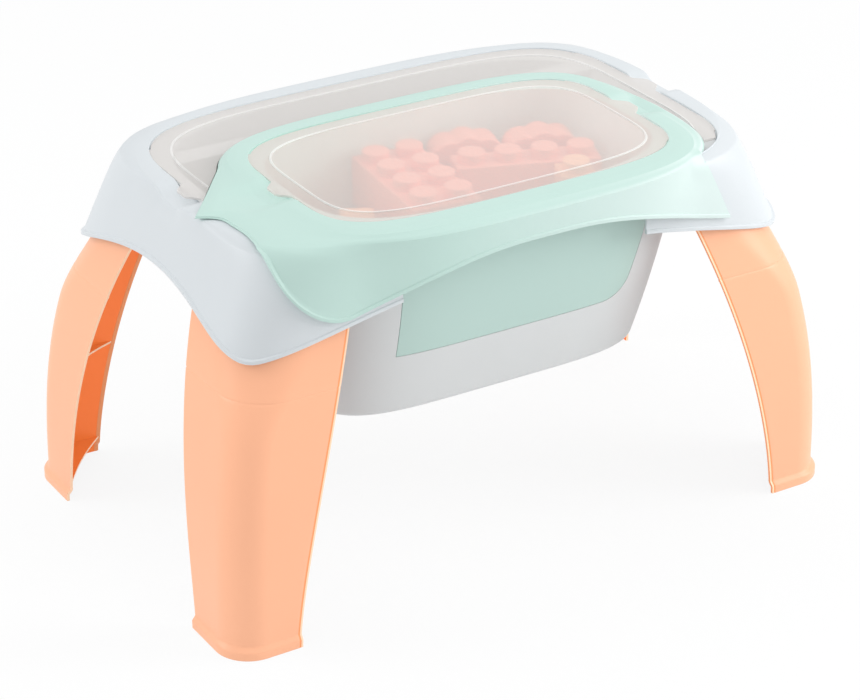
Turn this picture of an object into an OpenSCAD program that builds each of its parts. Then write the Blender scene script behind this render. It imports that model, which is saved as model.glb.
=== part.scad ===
// Toddler play table with storage: a pale frame with a wavy skirt stands on four arched legs,
// a tub hangs in it, and a lift-out front bin drapes its own skirt over the frame.
// Millimetres, +Z up, origin on the floor under the middle of the table.

/* [Table frame] */
// Height of the rim above the floor
rim_h = 400; // [392:1:410]
// Length of the rim over its shoulder
rim_l = 599; // [594:1:602]
// Width of the rim over its shoulder
rim_w = 406; // [404:1:410]
// Squareness of the rim's outline, 2 is an ellipse
rim_power = 3.4; // [3.2:0.1:3.8]
// Wall of the frame's moulding
frame_wall = 2.6; // [2:0.1:3]
// Width of the rim between the lid's recess and the end shoulder
rim_end_band = 23; // [20:1:26]
// Width of the rim between the lid's recess and the rear shoulder
rim_rear_band = 23; // [20:1:25]
// Width of the rim between the lid's recess and the front shoulder, under the bin
rim_front_band = 5; // [4:0.5:8]
// Squareness of the lid's recess
recess_power = 4.6; // [4:0.1:5]
// Width of the ledge that carries the tub's flange
ledge_w = 11; // [9:0.5:12]
// How far the skirt flares out at each end
flare_end = 39; // [37:1:42]
// How far the skirt flares out at each long side
flare_side = 2; // [1:0.5:4]
// Squareness of the skirt at its lowest
skirt_power = 7.5; // [6.5:0.5:8.5]
// Drop of the skirt at the four lobes over the legs
lobe_drop = 105; // [100:1:107]
// Rise of the skirt's arch between lobes on the long sides
side_arch = 51; // [44:1:56]
// Rise of the skirt's arch between lobes at the ends
end_arch = 38; // [30:1:42]
// Height of the bead along the skirt's edge
bead_h = 5; // [3:0.5:7]
// How far the bead stands out
bead_out = 1.2; // [0.6:0.1:1.6]
// Depth of the finger scoops in the rim
scoop_depth = 8; // [4:0.5:9]
// Depth of the finger scoops in the bin's rim
bin_scoop = 6.2; // [5.8:0.1:6.6]
// Half width of the finger scoops
scoop_half = 34; // [33:1:37]
// Depth of skirt that stays above the opening over the tub's window
notch_top = 24; // [20:1:28]
// Left end of that opening, from the middle
notch_left = 155; // [145:1:158]
// Right end of that opening, from the middle
notch_right = 133; // [126:1:138]

/* [Storage tub] */
// Depth of the tub below the rim
tub_depth = 229; // [222:1:232]
// Wall of the tub
tub_wall = 2.6; // [2:0.1:3]
// Thickness of the tub's hanging flange
tub_flange = 2.8; // [2:0.1:3]
// How much the tub narrows at each end down to its floor
tub_draft_end = 69; // [60:1:72]
// How much the tub narrows at each long side down to its floor
tub_draft_side = 44; // [40:1:48]
// Squareness of the tub at its mouth
tub_power = 3.6; // [3.2:0.1:3.8]
// How much squarer the tub gets down to its floor
tub_square = 1.2; // [0:0.2:2]
// Left edge of the front window, from the middle
window_left = 138; // [120:1:142]
// Right edge of the front window, from the middle
window_right = 157; // [150:1:160]
// How far the window's right side leans in down to its corner
window_lean = 15; // [8:1:18]
// Depth of the window's lower edge below the rim
window_depth = 151; // [144:1:156]
// Radius of the window's lower right corner
window_round = 34; // [20:1:40]
// Place of the divider's front face behind the middle
divider_y = 78; // [76:1:82]
// Thickness of the divider
divider_wall = 3; // [2:0.1:4]
// Depth of the divider's shelf under the back lid
divider_shelf = 28; // [22:1:34]
// Width of the ribs that hold the divider
guide_w = 3; // [2:0.5:4]
// How far those ribs stand out from the tub's wall
guide_reach = 7; // [5:0.5:10]
// Height of those ribs above the tub's floor
guide_h = 130; // [80:1:160]

/* [Legs] */
// Half length over the feet
foot_half_l = 370; // [366:1:374]
// Half width over the feet
foot_half_w = 237; // [232:1:241]
// How far a leg leans in at the skirt along the table's length
lean_l = 39; // [37:1:44]
// How far a leg leans in at the skirt along the table's width
lean_w = 33; // [30:1:36]
// Wall of the legs
leg_wall = 3; // [2.4:0.1:3.4]
// Radius of a leg's outer corner
leg_round = 38; // [34:1:44]
// Extra radius at the top of the leg
leg_round_more = 32; // [28:1:34]
// Width of a leg's long-side wall at the foot
foot_panel_l = 78; // [70:1:86]
// Width of a leg's end wall at the foot
foot_panel_w = 89; // [80:1:96]
// Growth of the long-side wall up to the leg's top
panel_grow_l = 96; // [86:1:104]
// Growth of the end wall up to the leg's top
panel_grow_w = 87; // [78:1:94]
// Distance of a leg's top below the rim
leg_below = 54; // [50:1:58]
// Height of the flared edge at the foot
flange_h = 14; // [10:1:18]
// How far that edge flares out
flange_out = 4; // [2:0.5:5]
// Height of the middle web
web_h = 133; // [110:1:150]
// Height of the web over the foot
foot_web_h = 18; // [12:1:26]
// Thickness of the webs
web_wall = 2.6; // [2:0.1:3.4]
// Radius of the peg that holds a leg
peg_r = 11; // [9:0.5:11.5]
// Wall of the peg and of the sleeve around it
peg_wall = 2.5; // [2:0.1:3]
// Length of the peg below the rim
peg_len = 68; // [62:1:84]
// Length of the sleeve
sleeve_len = 42; // [34:1:48]
// Place of a peg along the table's length
peg_x = 248; // [245:1:250]
// Place of a peg along the table's width
peg_y = 156; // [154:1:157]

/* [Front bin] */
// Place of the bin's middle in front of the table's middle
bin_y = 62; // [60:1:64]
// Half length of the bin's lid recess
bin_recess_l = 207.5; // [206.5:0.5:211]
// Half width of the bin's lid recess
bin_recess_w = 128; // [127:0.5:131]
// How far the recess lies behind the bin's middle
bin_recess_back = 3.6; // [3:0.2:4]
// Half length of the bin's rim
bin_rim_l = 228; // [226:1:231]
// Half width of the bin's rim
bin_rim_w = 152; // [150:1:154]
// How far the bin's shoulder rolls out beyond that rim
bin_roll = 12; // [10:0.5:13]
// Squareness of the bin's lid recess
bin_power = 4.5; // [4.2:0.1:4.8]
// Squareness of the bin's rim
bin_rim_power = 4.2; // [4:0.1:4.5]
// Squareness of the bin's shoulder
bin_shoulder_power = 3.5; // [3.3:0.1:3.8]
// Height of the bin's rim above the table's rim
bin_rise = 10; // [9:0.5:13]
// Wall of the bin's moulding
bin_wall = 2.6; // [2:0.1:3]
// Depth of the bin's underside below the rim
bin_depth = 150; // [144:1:153]
// Half length of the bin at its mouth
bin_mouth = 203; // [198:1:204]
// Half length of the bin at its floor
bin_foot = 180; // [170:1:184]
// Back of the bin at its mouth, behind the table's middle
bin_back_top = 62; // [59:1:64]
// Back of the bin at its floor, behind the table's middle
bin_back_low = 55; // [52:1:58]
// Drop of the bin's skirt at its two front lobes
bin_lobe_drop = 71; // [67:1:74]
// Drop of the bin's skirt at the middle of the front
bin_arch_drop = 25; // [24:1:32]
// How far the skirt flares out down to its lobes
bin_flare = 2; // [1:0.5:4]
// How far the skirt is drawn out towards the frame's right end, as a share of the way
wing_right = 0.1; // [0.06:0.01:0.2]

/* [Lids] */
// Thickness of the lids
lid_wall = 2.5; // [2:0.1:2.8]
// Distance of the raised line from a lid's edge
line_inset = 17; // [14:1:20]
// Width of the raised line
line_w = 2.4; // [1.6:0.1:3.2]
// Height of the raised line
line_h = 1.4; // [0.8:0.1:1.8]
// How far a pull tab reaches past the lid's edge
tab_reach = 12; // [10:1:13]
// Half width of a pull tab
tab_half = 25; // [23:1:26]
// Place of the pull tabs behind the lid's middle
tab_y = 6; // [2:1:8]
// Gap between the back lid and the bin
lid_part_gap = 3; // [2:0.5:5]
// Distance of the raised line's ends from the back lid's cut edge
line_end = 2; // [1:0.5:4]
// Place of the back lid's left end behind the table's middle
lid_left_end = -21; // [-24:1:-14]
// Place of the back lid's right end behind the table's middle
lid_right_end = -156; // [-162:1:-120]

/* [Toy bricks] */
// Distance between two studs
pitch = 39; // [37:0.5:40]
// Diameter of a stud
stud_d = 29; // [26:0.5:31]
// Height of a stud
stud_h = 11; // [8:0.5:12]
// Height of a brick without its studs
brick_h = 54; // [48:1:55]
// Wall of a brick
brick_wall = 3; // [2:0.5:4]

/* [Fits] */
// Play between the lids and their recesses
lid_play = 1.2; // [0.8:0.1:1.6]
// Play between the bin's skirt and the frame
drape_play = 1.4; // [1.2:0.1:1.8]
// Play of the tub in the frame's hole
hang_play = 1; // [0.6:0.1:1.4]
// Play of the bin's front in the window
window_play = 0.6; // [0.4:0.1:1]
// Play between the bin and the tub's wall
bin_play = 2; // [1.5:0.5:3]
// Play of a sleeve on its peg
peg_play = 0.3; // [0.2:0.1:0.5]
// Play of pieces that lie on each other
seat_play = 0.3; // [0.2:0.1:0.4]

/* [Hidden] */

$fn = 48;
quarter = 18;
slices = quarter * 4;
grey = "#dee4e7";
warm_grey = "#d6d6d2";
peach = "#fcc4a0";
mint = "#c4e8dc";
frost = "#e6e2dd";

// Levels, from the rim down
recess_z = rim_h - lid_wall - 1.3;
ledge_z = recess_z - tub_flange;
tub_floor_z = rim_h - tub_depth;
window_sill = rim_h - window_depth;
bin_floor = rim_h - bin_depth;
leg_h = rim_h - leg_below;
bin_top = rim_h + bin_rise;
bin_ledge_z = bin_top - lid_wall - 1.3;

// Outlines of the frame
half_l = rim_l / 2;
half_w = rim_w / 2;
recess_l = half_l - rim_end_band;
recess_w = half_w - (rim_rear_band + rim_front_band) / 2;
recess_y = (rim_rear_band - rim_front_band) / 2;
hole_l = recess_l - ledge_w;
hole_w = recess_w - ledge_w;
tub_top_l = hole_l - hang_play;
tub_top_w = hole_w - hang_play;

function smooth(x) = let (c = max(0, min(1, x))) c * c * (3 - 2 * c);
function mix(a, b, f) = a + (b - a) * f;
function up(x, p) = pow(abs(x), p);

// Angles round an outline, closer together at the ends and at the corners
corner_at = 34;
function quarter_angle(u) = u < 0.5
    ? corner_at * (0.35 * 2 * u + 0.65 * smooth(2 * u))
    : corner_at + (90 - corner_at) * (0.3 * (2 * u - 1) + 0.7 * pow(2 * u - 1, 2));
function angle_at(i) = let (q = floor(i / quarter), u = i / quarter - q)
    q % 2 == 0 ? 90 * q + quarter_angle(u) : 90 * (q + 1) - quarter_angle(1 - u);
angles = [for (i = [0:slices - 1]) angle_at(i)];

// Reach of a squared ellipse in one direction from its middle
function reach(a, b, n, t) = 1 / pow(up(cos(t) / a, n) + up(sin(t) / b, n), 1 / n);
function oval(a, b, n, at = angles) = [for (t = at) reach(a, b, n, t) * [cos(t), sin(t)]];
function ring_at(a, b, n, z, y = 0, at = angles) = [for (p = oval(a, b, n, at)) [p.x, p.y + y, z]];

// A solid through rings of points, closed by caps, or into a loop with no ends
module loft(rings, loop = false) {
    n = len(rings[0]);
    last = len(rings) - 1;
    steps = loop ? last : last - 1;
    sides = [for (k = [0:steps], i = [0:n - 1])
        let (a = k * n + i, b = k * n + (i + 1) % n,
             c = ((k + 1) % (last + 1)) * n + (i + 1) % n, d = ((k + 1) % (last + 1)) * n + i)
        each [[a, b, c], [a, c, d]]];
    caps = loop ? [] : [[for (i = [n - 1:-1:0]) i], [for (i = [0:n - 1]) last * n + i]];
    polyhedron(points = [for (r = rings) each r], faces = concat(sides, caps));
}

// ---- table frame

// The skirt's outline at a depth below the rim: half length, half width, squareness
function skirt_l(d) = half_l + flare_end * pow(max(d, 0) / lobe_drop, 1.2);
function skirt_w(d) = half_w + flare_side * pow(max(d, 0) / lobe_drop, 0.8);
function skirt_n(d) = rim_power + (skirt_power - rim_power) * pow(max(d, 0) / lobe_drop, 0.42);
function skirt_reach(d, t, in = 0) = reach(skirt_l(d) - in, skirt_w(d) - in, skirt_n(d), t);

// Depth of the wavy edge in one direction
function arch(u) = pow(max(0, 1 - u * u), 1.15);
function edge_drop(t) = let (r = skirt_reach(lobe_drop, t), x = abs(r * cos(t)), y = abs(r * sin(t)))
    lobe_drop - side_arch * arch(x / (skirt_l(lobe_drop) - 18))
              - end_arch * arch(y / (skirt_w(lobe_drop) - 18));

// The finger scoops lower the rim round the two pull tabs
function scoop(x, y, at, half) = x == 0 ? 0 : smooth(1.7 * (1 - abs(y - at) / half));

// Cross-section of the frame in one direction, as reach, height and shift to the front, clockwise
function frame_profile(t) =
    let (rr = reach(recess_l, recess_w, recess_power, t), rs = reach(half_l, half_w, rim_power, t),
         hole = reach(hole_l, hole_w, tub_power, t), drop = edge_drop(t),
         dip_in = scoop_depth * scoop(cos(t), rr * sin(t) - recess_y, tab_y, scoop_half),
         dip = scoop_depth * scoop(cos(t), rs * sin(t), tab_y, scoop_half))
    [[hole, ledge_z, recess_y], [rr, ledge_z - 0.2 * dip_in, recess_y], [rr, rim_h - dip_in, recess_y],
     [mix(rr, rs, 0.6), rim_h - 0.3 - mix(dip_in, dip, 0.6), 0.4 * recess_y], [rs, rim_h - 1 - dip, 0],
     [skirt_reach(4, t), rim_h - 4 - 0.9 * dip, 0],
     each [for (f = [0.12, 0.3, 0.5, 0.75]) let (d = f * (drop - bead_h))
        [skirt_reach(d, t), rim_h - d - dip * max(0, 0.8 - 2 * f), 0]],
     [skirt_reach(drop - bead_h, t), rim_h - drop + bead_h, 0],
     [skirt_reach(drop, t) + bead_out, rim_h - drop + bead_h - 1.2, 0],
     [skirt_reach(drop, t) + bead_out, rim_h - drop, 0],
     [skirt_reach(drop, t, frame_wall), rim_h - drop, 0],
     each [for (f = [0.6, 0.25]) [skirt_reach(f * drop, t, frame_wall), rim_h - f * drop, 0]],
     [skirt_reach(9, t, frame_wall), ledge_z - frame_wall - 2 - 0.8 * dip, 0],
     [mix(rr, rs, 0.4), ledge_z - frame_wall - 0.6 * dip, 0.6 * recess_y],
     [hole, ledge_z - frame_wall, recess_y]];

frame_grid = [for (t = angles) [for (p = frame_profile(t)) [p.x * cos(t), p.x * sin(t) - p.z, p.y]]];

module frame_shell() {
    loft([for (k = [0:len(frame_grid[0]) - 1]) [for (i = [0:slices - 1]) frame_grid[i][k]]],
         loop = true);
}

module pegs() {
    top = ledge_z - frame_wall / 2;
    for (x = [-peg_x, peg_x], y = [-peg_y, peg_y])
        translate([x, y, rim_h - peg_len])
            difference() {
                cylinder(r = peg_r, h = top - rim_h + peg_len);
                translate([0, 0, -1])
                    cylinder(r = peg_r - peg_wall, h = top - rim_h + peg_len - frame_wall);
            }
}

// The front of the skirt is open over the tub's window, where the bin's own skirt hides it
module skirt_notch() {
    translate([-notch_left, -half_w - 40, rim_h - lobe_drop - 1])
        cube([notch_left + notch_right, 100, lobe_drop + 1 - notch_top]);
}

module table_frame() {
    color(grey) {
        difference() {
            frame_shell();
            skirt_notch();
        }
        pegs();
    }
}

// ---- storage tub

function tub_share(z) = (ledge_z - z) / (ledge_z - tub_floor_z);
function tub_l(z) = tub_top_l - tub_draft_end * up(tub_share(z), 0.65);
function tub_w(z) = tub_top_w - tub_draft_side * up(tub_share(z), 1.9);
function tub_n(z) = tub_power + tub_square * tub_share(z);
function tub_ring(z, in = 0, at = -1) =
    ring_at(tub_l(z) - in, tub_w(z) - in, tub_n(z), at < 0 ? z : at, -recess_y);
function tub_front(z) = recess_y + tub_w(z);
tub_levels = [for (f = [0:0.2:0.8]) mix(ledge_z, tub_floor_z, f)];
tub_turn = 8;

// The tub's outside as one solid, used for its wall and for the bin's front in the window
module tub_block() {
    z = tub_floor_z;
    loft([for (h = tub_levels) tub_ring(h), tub_ring(z + tub_turn),
          tub_ring(z, 0.3 * tub_turn, z + 0.3 * tub_turn), tub_ring(z, tub_turn)]);
}

// The hollow of the tub, or what fits in it with a given play
module tub_space(play = 0) {
    z = tub_floor_z + tub_wall;
    in = tub_wall + play;
    loft([tub_ring(ledge_z, in, ledge_z + tub_flange + 1),
          for (h = tub_levels) if (h < ledge_z) tub_ring(h, in),
          tub_ring(z + tub_turn, in), tub_ring(z, tub_turn + in)]);
}

// Outline of the front window, seen from the front, open at the top
module window_shape(play) {
    low = window_sill - play;
    right = window_right + play;
    left = window_left + play;
    r = window_round + play;
    polygon(concat(
        [[-left, rim_h + 20], [-left, low]],
        [for (a = [-90:15:-15]) [right - window_lean - r + r * cos(a), low + r + r * sin(a)]],
        [[right, low + 92], [right + 2, rim_h + 20]]));
}

module window_prism(play) {
    rotate([90, 0, 0])
        linear_extrude(height = half_w + 20)
            window_shape(play);
}

module storage_tub() {
    color(warm_grey)
        difference() {
            union() {
                tub_block();
                translate([0, -recess_y, ledge_z])
                    linear_extrude(height = tub_flange)
                        polygon(oval(recess_l - lid_play, recess_w - lid_play, recess_power));
            }
            difference() {
                tub_space();
                divider_ribs();
            }
            translate([0, -tub_front(window_sill) + 40, 0])
                window_prism(window_play);
        }
}

// Upright ribs at both ends of the tub, one on each side of the divider
function rib_at(z) = tub_l(z) * pow(1 - up((divider_y + recess_y) / tub_w(z), tub_n(z)), 1 / tub_n(z));
module divider_ribs() {
    low = tub_floor_z;
    high = tub_floor_z + guide_h;
    for (s = [-1, 1], y = [divider_y - seat_play, divider_y + divider_wall + guide_w + seat_play])
        translate([0, y, 0])
            rotate([90, 0, 0])
                linear_extrude(height = guide_w)
                    polygon([[s * (rib_at(low) - guide_reach), low], [s * half_l, low],
                             [s * half_l, high], [s * (rib_at(high) - guide_reach), high]]);
}

module tub_divider() {
    low = tub_floor_z + tub_wall + seat_play;
    shelf_z = recess_z - tub_wall;
    color(warm_grey)
        intersection() {
            union() {
                translate([-half_l, divider_y, low])
                    cube([rim_l, divider_wall, recess_z - low]);
                translate([-half_l, divider_y, shelf_z])
                    cube([rim_l, divider_shelf, recess_z - shelf_z]);
            }
            tub_space(seat_play);
        }
}

// ---- legs

function lean(z) = pow(z / (0.84 * leg_h), 2.6);
function rise(z) = pow(z / leg_h, 1.45);
function foot_flare(z) = flange_out * (1 - smooth((z - flange_h * 0.55) / (flange_h * 0.45)));
function leg_x(z) = foot_half_l - flange_out - lean_l * lean(z) + foot_flare(z);
function leg_y(z) = foot_half_w - flange_out - lean_w * lean(z) + foot_flare(z);
function leg_r(z) = leg_round + leg_round_more * smooth((z / leg_h - 0.636) / 0.26);
function leg_in_x(z) = foot_half_l - foot_panel_l - panel_grow_l * rise(z);
function leg_in_y(z) = foot_half_w - foot_panel_w - panel_grow_w * rise(z);

// Path round a leg at one height, offset inwards: long-side wall, corner, end wall
leg_turns = 8;
function leg_path(z, in = 0, cut = 0) =
    let (x = leg_x(z) - in, y = leg_y(z) - in, r = leg_r(z) - in)
    [[leg_in_x(z) - cut, y], each [for (k = [0:leg_turns]) let (a = 90 - 90 * k / leg_turns)
        [x - r + r * cos(a), y - r + r * sin(a)]], [x, leg_in_y(z) - cut]];
leg_levels = [0, flange_h * 0.55, flange_h, for (k = [0:6]) leg_h * (0.145 + 0.1214 * k), leg_h];

// A wall between two grids of points, stitched round its border
module slab(outer, inner) {
    m = len(outer);
    n = len(outer[0]);
    base = m * n;
    face = [for (k = [0:m - 2], i = [0:n - 2])
        let (a = k * n + i, b = a + 1, c = a + n + 1, d = a + n)
        each [[a, b, c], [a, c, d], [base + a, base + c, base + b], [base + a, base + d, base + c]]];
    rows = [for (i = [0:n - 2]) let (t = (m - 1) * n + i)
        each [[i, base + i + 1, i + 1], [i, base + i, base + i + 1],
              [t, t + 1, base + t + 1], [t, base + t + 1, base + t]]];
    cols = [for (k = [0:m - 2]) let (a = k * n, b = k * n + n - 1)
        each [[a, base + a + n, base + a], [a, a + n, base + a + n],
              [b, base + b, base + b + n], [b, base + b + n, b + n]]];
    polyhedron(points = concat([for (r = outer) each r], [for (r = inner) each r]),
               faces = concat(face, rows, cols));
}

module leg_walls() {
    slab([for (z = leg_levels) [for (p = leg_path(z)) [p.x, p.y, z]]],
         [for (z = leg_levels) [for (p = leg_path(z, leg_wall)) [p.x, p.y, z]]]);
}

// A flat web across a leg, its free edge bowed towards the corner
module web(z, thick, bow) {
    path = leg_path(z, leg_wall / 2);
    a = path[len(path) - 1];
    b = path[0];
    translate([0, 0, z])
        linear_extrude(height = thick)
            polygon(concat(path, [for (k = [1:5]) let (f = k / 6)
                mix(a, b, f) + bow * sin(180 * f) * [1, 1] * 0.7]));
}

module leg() {
    sleeve_r = peg_r + peg_play + peg_wall;
    color(peach) {
        leg_walls();
        difference() {
            union() {
                web(leg_h - web_wall, web_wall, 0);
                translate([peg_x, peg_y, leg_h - sleeve_len])
                    cylinder(r = sleeve_r, h = sleeve_len);
            }
            translate([peg_x, peg_y, leg_h - sleeve_len - 1])
                cylinder(r = peg_r + peg_play, h = sleeve_len + 2);
        }
        web(web_h, web_wall, 22);
        web(foot_web_h, web_wall, 4);
    }
}

module leg_front_left() {
    mirror([1, 0, 0])
        mirror([0, 1, 0])
            leg();
}

module leg_front_right() {
    mirror([0, 1, 0])
        leg();
}

module leg_rear_left() {
    mirror([1, 0, 0])
        leg();
}

module leg_rear_right() {
    leg();
}

// ---- front bin

// Reach from the bin's middle to the frame's skirt at a depth, with the bin's skirt outside it
drape = drape_play + bin_wall;
function to_skirt(t, d, out, lo = 0, hi = rim_l, k = 15) = k == 0 ? (lo + hi) / 2
    : let (m = (lo + hi) / 2, n = skirt_n(d),
           v = up(m * cos(t) / (skirt_l(d) + out), n)
             + up((m * sin(t) - bin_y) / (skirt_w(d) + out), n))
      v < 1 ? to_skirt(t, d, out, m, hi, k - 1) : to_skirt(t, d, out, lo, m, k - 1);

// Angle below the bin's own long axis, and how far the skirt is drawn out to the frame there
bin_quarter = 15;
wing_from = 24;
tip_at = 0.5;
meet_at = 17.5;
cut_at = 31;
cut_ramp = 3;
cut_over = 1.2;
function spread(from, to, n) = [for (k = [1:n]) mix(from, to, k / n)];
rear_list = [for (k = [bin_quarter:-1:0]) -tip_at - (90 - tip_at) * pow(k / bin_quarter, 1.25)];
left_list = concat(rear_list, spread(-tip_at, 38, 13), spread(38, 90, 8));
right_list = concat(rear_list, spread(-tip_at, cut_at - cut_ramp, 8), spread(cut_at - cut_ramp, cut_at, 2),
                    spread(cut_at, cut_at + cut_over, 3), spread(cut_at + cut_over, 38, 2),
                    spread(38, 90, 7));
bin_angles = concat([for (b = left_list) 180 + b],
                    [for (k = [len(right_list) - 2:-1:1]) 360 - right_list[k]]);
function below(t) = t > 180 ? (t > 270 ? 360 - t : t - 180) : (t > 90 ? t - 180 : -t);
function on_left(t) = t > 90 && t < 270;
function wing_end(t, b) = on_left(t)
    ? 0.66 + 0.34 * pow(max(0, min(1, 1 - (b + tip_at) / 5)), 2.5)
           + 0.34 * pow(max(0, min(1, (b - 6) / (meet_at - 6))), 3)
    : mix(wing_right, 1.03, smooth((b - cut_at + cut_ramp) / cut_ramp));
function wing(t) = let (b = below(t))
    wing_end(t, b) * pow(max(0, min(1, (b + wing_from) / (wing_from - tip_at))), 1.6);
function lobe_start(t, b) = on_left(t) ? smooth((b - 16.5) / 16.5) 
    : max(0, min(1, (b - cut_at) / cut_over));
function bin_drop(t) = let (b = below(t), from = on_left(t) ? 34 : cut_at)
    lobe_start(t, b) * (b < from ? bin_lobe_drop : bin_arch_drop
        + (bin_lobe_drop - bin_arch_drop) * pow(1 - sin(90 * (b - from) / (90 - from)), 1.6));

function bin_rim(t) = reach(bin_rim_l, bin_rim_w, bin_rim_power, t);
function bin_own(t) = reach(bin_rim_l + bin_roll, bin_rim_w + bin_roll, bin_shoulder_power, t);
function bin_skirt(t, d, out = 0) = let (own = bin_own(t) + bin_flare * d / bin_lobe_drop)
    mix(own, max(own, to_skirt(t, d + drape, drape)), wing(t)) + out;
function bin_inside(t, d) = let (own = bin_own(t) + bin_flare * d / bin_lobe_drop - bin_wall)
    mix(own, max(own, to_skirt(t, d + drape_play, drape_play)), wing(t));

// Cross-section of the bin's rim and skirt in one direction, as reach, height and shift to the rear
bin_over = rim_h + drape;
skirt_steps = [0.08, 0.22, 0.45, 0.72];
function bin_profile(t) =
    let (rr = reach(bin_recess_l, bin_recess_w, bin_power, t), rs = bin_rim(t),
         top = bin_over - 1.2, sh = bin_skirt(t, rim_h - top), low = rim_h + seat_play + 0.3 - bin_drop(t),
         lip = min(bead_h, 0.35 * (bin_over - low)),
         dip_in = bin_scoop * scoop(cos(t), rr * sin(t) + bin_recess_back, tab_y, scoop_half),
         dip = bin_scoop * scoop(cos(t), rs * sin(t), tab_y, scoop_half))
    [[rr, bin_ledge_z - 0.1 * dip_in, bin_recess_back], [rr, bin_top - dip_in, bin_recess_back],
     [mix(rr, rs, 0.6), bin_top - 0.2 - mix(dip_in, dip, 0.6), 0.4 * bin_recess_back],
     [rs, bin_top - 1.4 - dip, 0],
     [mix(rs, sh, 0.35), mix(bin_over, bin_top, 0.45) - 0.5 * dip, 0],
     [mix(rs, sh, 0.75), bin_over + 0.9, 0], [sh, top, 0],
     each [for (f = skirt_steps) let (z = mix(top, low + lip, f)) [bin_skirt(t, rim_h - z), z, 0]],
     [bin_skirt(t, rim_h - low - lip), low + lip, 0],
     [bin_skirt(t, rim_h - low, bead_out), low + 0.8 * lip, 0],
     [bin_skirt(t, rim_h - low, bead_out), low, 0],
     [bin_inside(t, rim_h - low), low, 0],
     each [for (k = [len(skirt_steps) - 1:-1:0]) let (z = mix(max(low, top - bin_wall), low, skirt_steps[k]))
        [bin_inside(t, rim_h - z), z, 0]],
     [bin_inside(t, -drape_play), bin_over - bin_wall - 0.2, 0],
     [mix(rs, sh, 0.4), bin_over - bin_wall + 0.2, 0],
     [rr + 1, min(bin_ledge_z - bin_wall, bin_over + 1) - 0.4 * dip_in, bin_recess_back]];

function bin_share(z) = (bin_ledge_z - z) / (bin_ledge_z - bin_floor);
function bin_front(z) = tub_front(min(z, ledge_z)) - tub_wall - bin_play;
function bin_section(z, in = 0) =
    let (f = bin_share(z), back = mix(bin_back_top, bin_back_low, f), front = bin_front(z))
    ring_at(mix(bin_mouth, bin_foot, pow(f, 1.4)) - in, (front + back) / 2 - in,
            mix(3.4, 4.5, f), z, (back - front) / 2, bin_angles);
bin_levels = [for (f = [0.25, 0.5, 0.75, 0.94]) mix(bin_ledge_z, bin_floor, f)];

bin_grid = [for (t = bin_angles)
    [for (p = bin_profile(t)) [p.x * cos(t), p.x * sin(t) - bin_y + p.z, p.y]]];

module bin_shell() {
    turn = 6;
    rim = [for (k = [0:len(bin_grid[0]) - 1]) [for (g = bin_grid) g[k]]];
    inner = [for (k = [len(bin_levels) - 1:-1:0]) bin_section(bin_levels[k], bin_wall)];
    outer = [for (z = bin_levels) bin_section(z)];
    floor_in = bin_section(bin_floor, bin_wall + turn);
    floor_out = bin_section(bin_floor, turn);
    loft(concat([[for (p = floor_in) [p.x, p.y, bin_floor + bin_wall]]], inner,
                [bin_section(bin_ledge_z, bin_wall)], rim,
                [bin_section(bin_ledge_z - bin_wall)], outer, [floor_out]));
}

// The panel that closes the tub's window, flush with the tub's outside
panel_top = rim_h - notch_top - 4;
module bin_panel() {
    difference() {
        intersection() {
            tub_block();
            translate([0, -tub_front(window_sill) + 40, 0])
                window_prism(-window_play);
            translate([-rim_l, -rim_w, bin_floor - 10])
                cube([2 * rim_l, rim_w, panel_top - bin_floor + 10]);
        }
        panel_back();
    }
}

// The bin's own outside up to the panel's top, so that the panel only fills in front of it
module panel_back() {
    loft([for (z = [panel_top + 1, mix(panel_top, bin_floor, 0.4), bin_levels[3]]) bin_section(z, 1),
          bin_section(window_sill - 20, 1)]);
}

module front_bin() {
    color(mint) {
        bin_shell();
        bin_panel();
    }
}

// ---- lids

// Pull tabs at both ends of a lid, drawn out of its edge in a soft curve
module tab_shape(edge, y) {
    root = edge - 6;
    for (s = [-1, 1])
        polygon(concat([[s * root, y - tab_half]],
                       [for (u = [-1:0.1:1.01]) [s * (edge - 1 + (tab_reach + 1) * smooth(1.35 * (1 - abs(u)))),
                                                 y + u * tab_half]],
                       [[s * root, y + tab_half]]));
}

module line_shape(a, b, n) {
    difference() {
        polygon(oval(a - line_inset, b - line_inset, n));
        polygon(oval(a - line_inset - line_w, b - line_inset - line_w, n));
    }
}

// Room that the bin takes in plan, with the gap that parts it from the back lid
module bin_room(more = 0) {
    polygon([for (t = bin_angles)
        (bin_skirt(t, bin_drop(t), bead_out) + lid_part_gap + more) * [cos(t), sin(t)] - [0, bin_y]]);
}

// Everything in front of the back lid's two ends
module lid_ends(more = 0) {
    translate([-rim_l, lid_left_end - rim_w + more])
        square([rim_l, rim_w]);
    translate([0, lid_right_end - rim_w + more])
        square([rim_l, rim_w]);
}

back_lid_l = recess_l - lid_play;
back_lid_w = recess_w - lid_play;

module back_lid() {
    color(frost)
        translate([0, 0, recess_z + seat_play]) {
            linear_extrude(height = lid_wall)
                difference() {
                    union() {
                        translate([0, -recess_y])
                            polygon(oval(back_lid_l, back_lid_w, recess_power));
                        tab_shape(back_lid_l, tab_y);
                    }
                    bin_room();
                    lid_ends();
                }
            linear_extrude(height = lid_wall + line_h)
                difference() {
                    translate([0, -recess_y])
                        line_shape(back_lid_l, back_lid_w, recess_power);
                    bin_room(line_end);
                    lid_ends(line_end);
                }
        }
}

front_lid_l = bin_recess_l - lid_play;
front_lid_w = bin_recess_w - lid_play;

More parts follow.
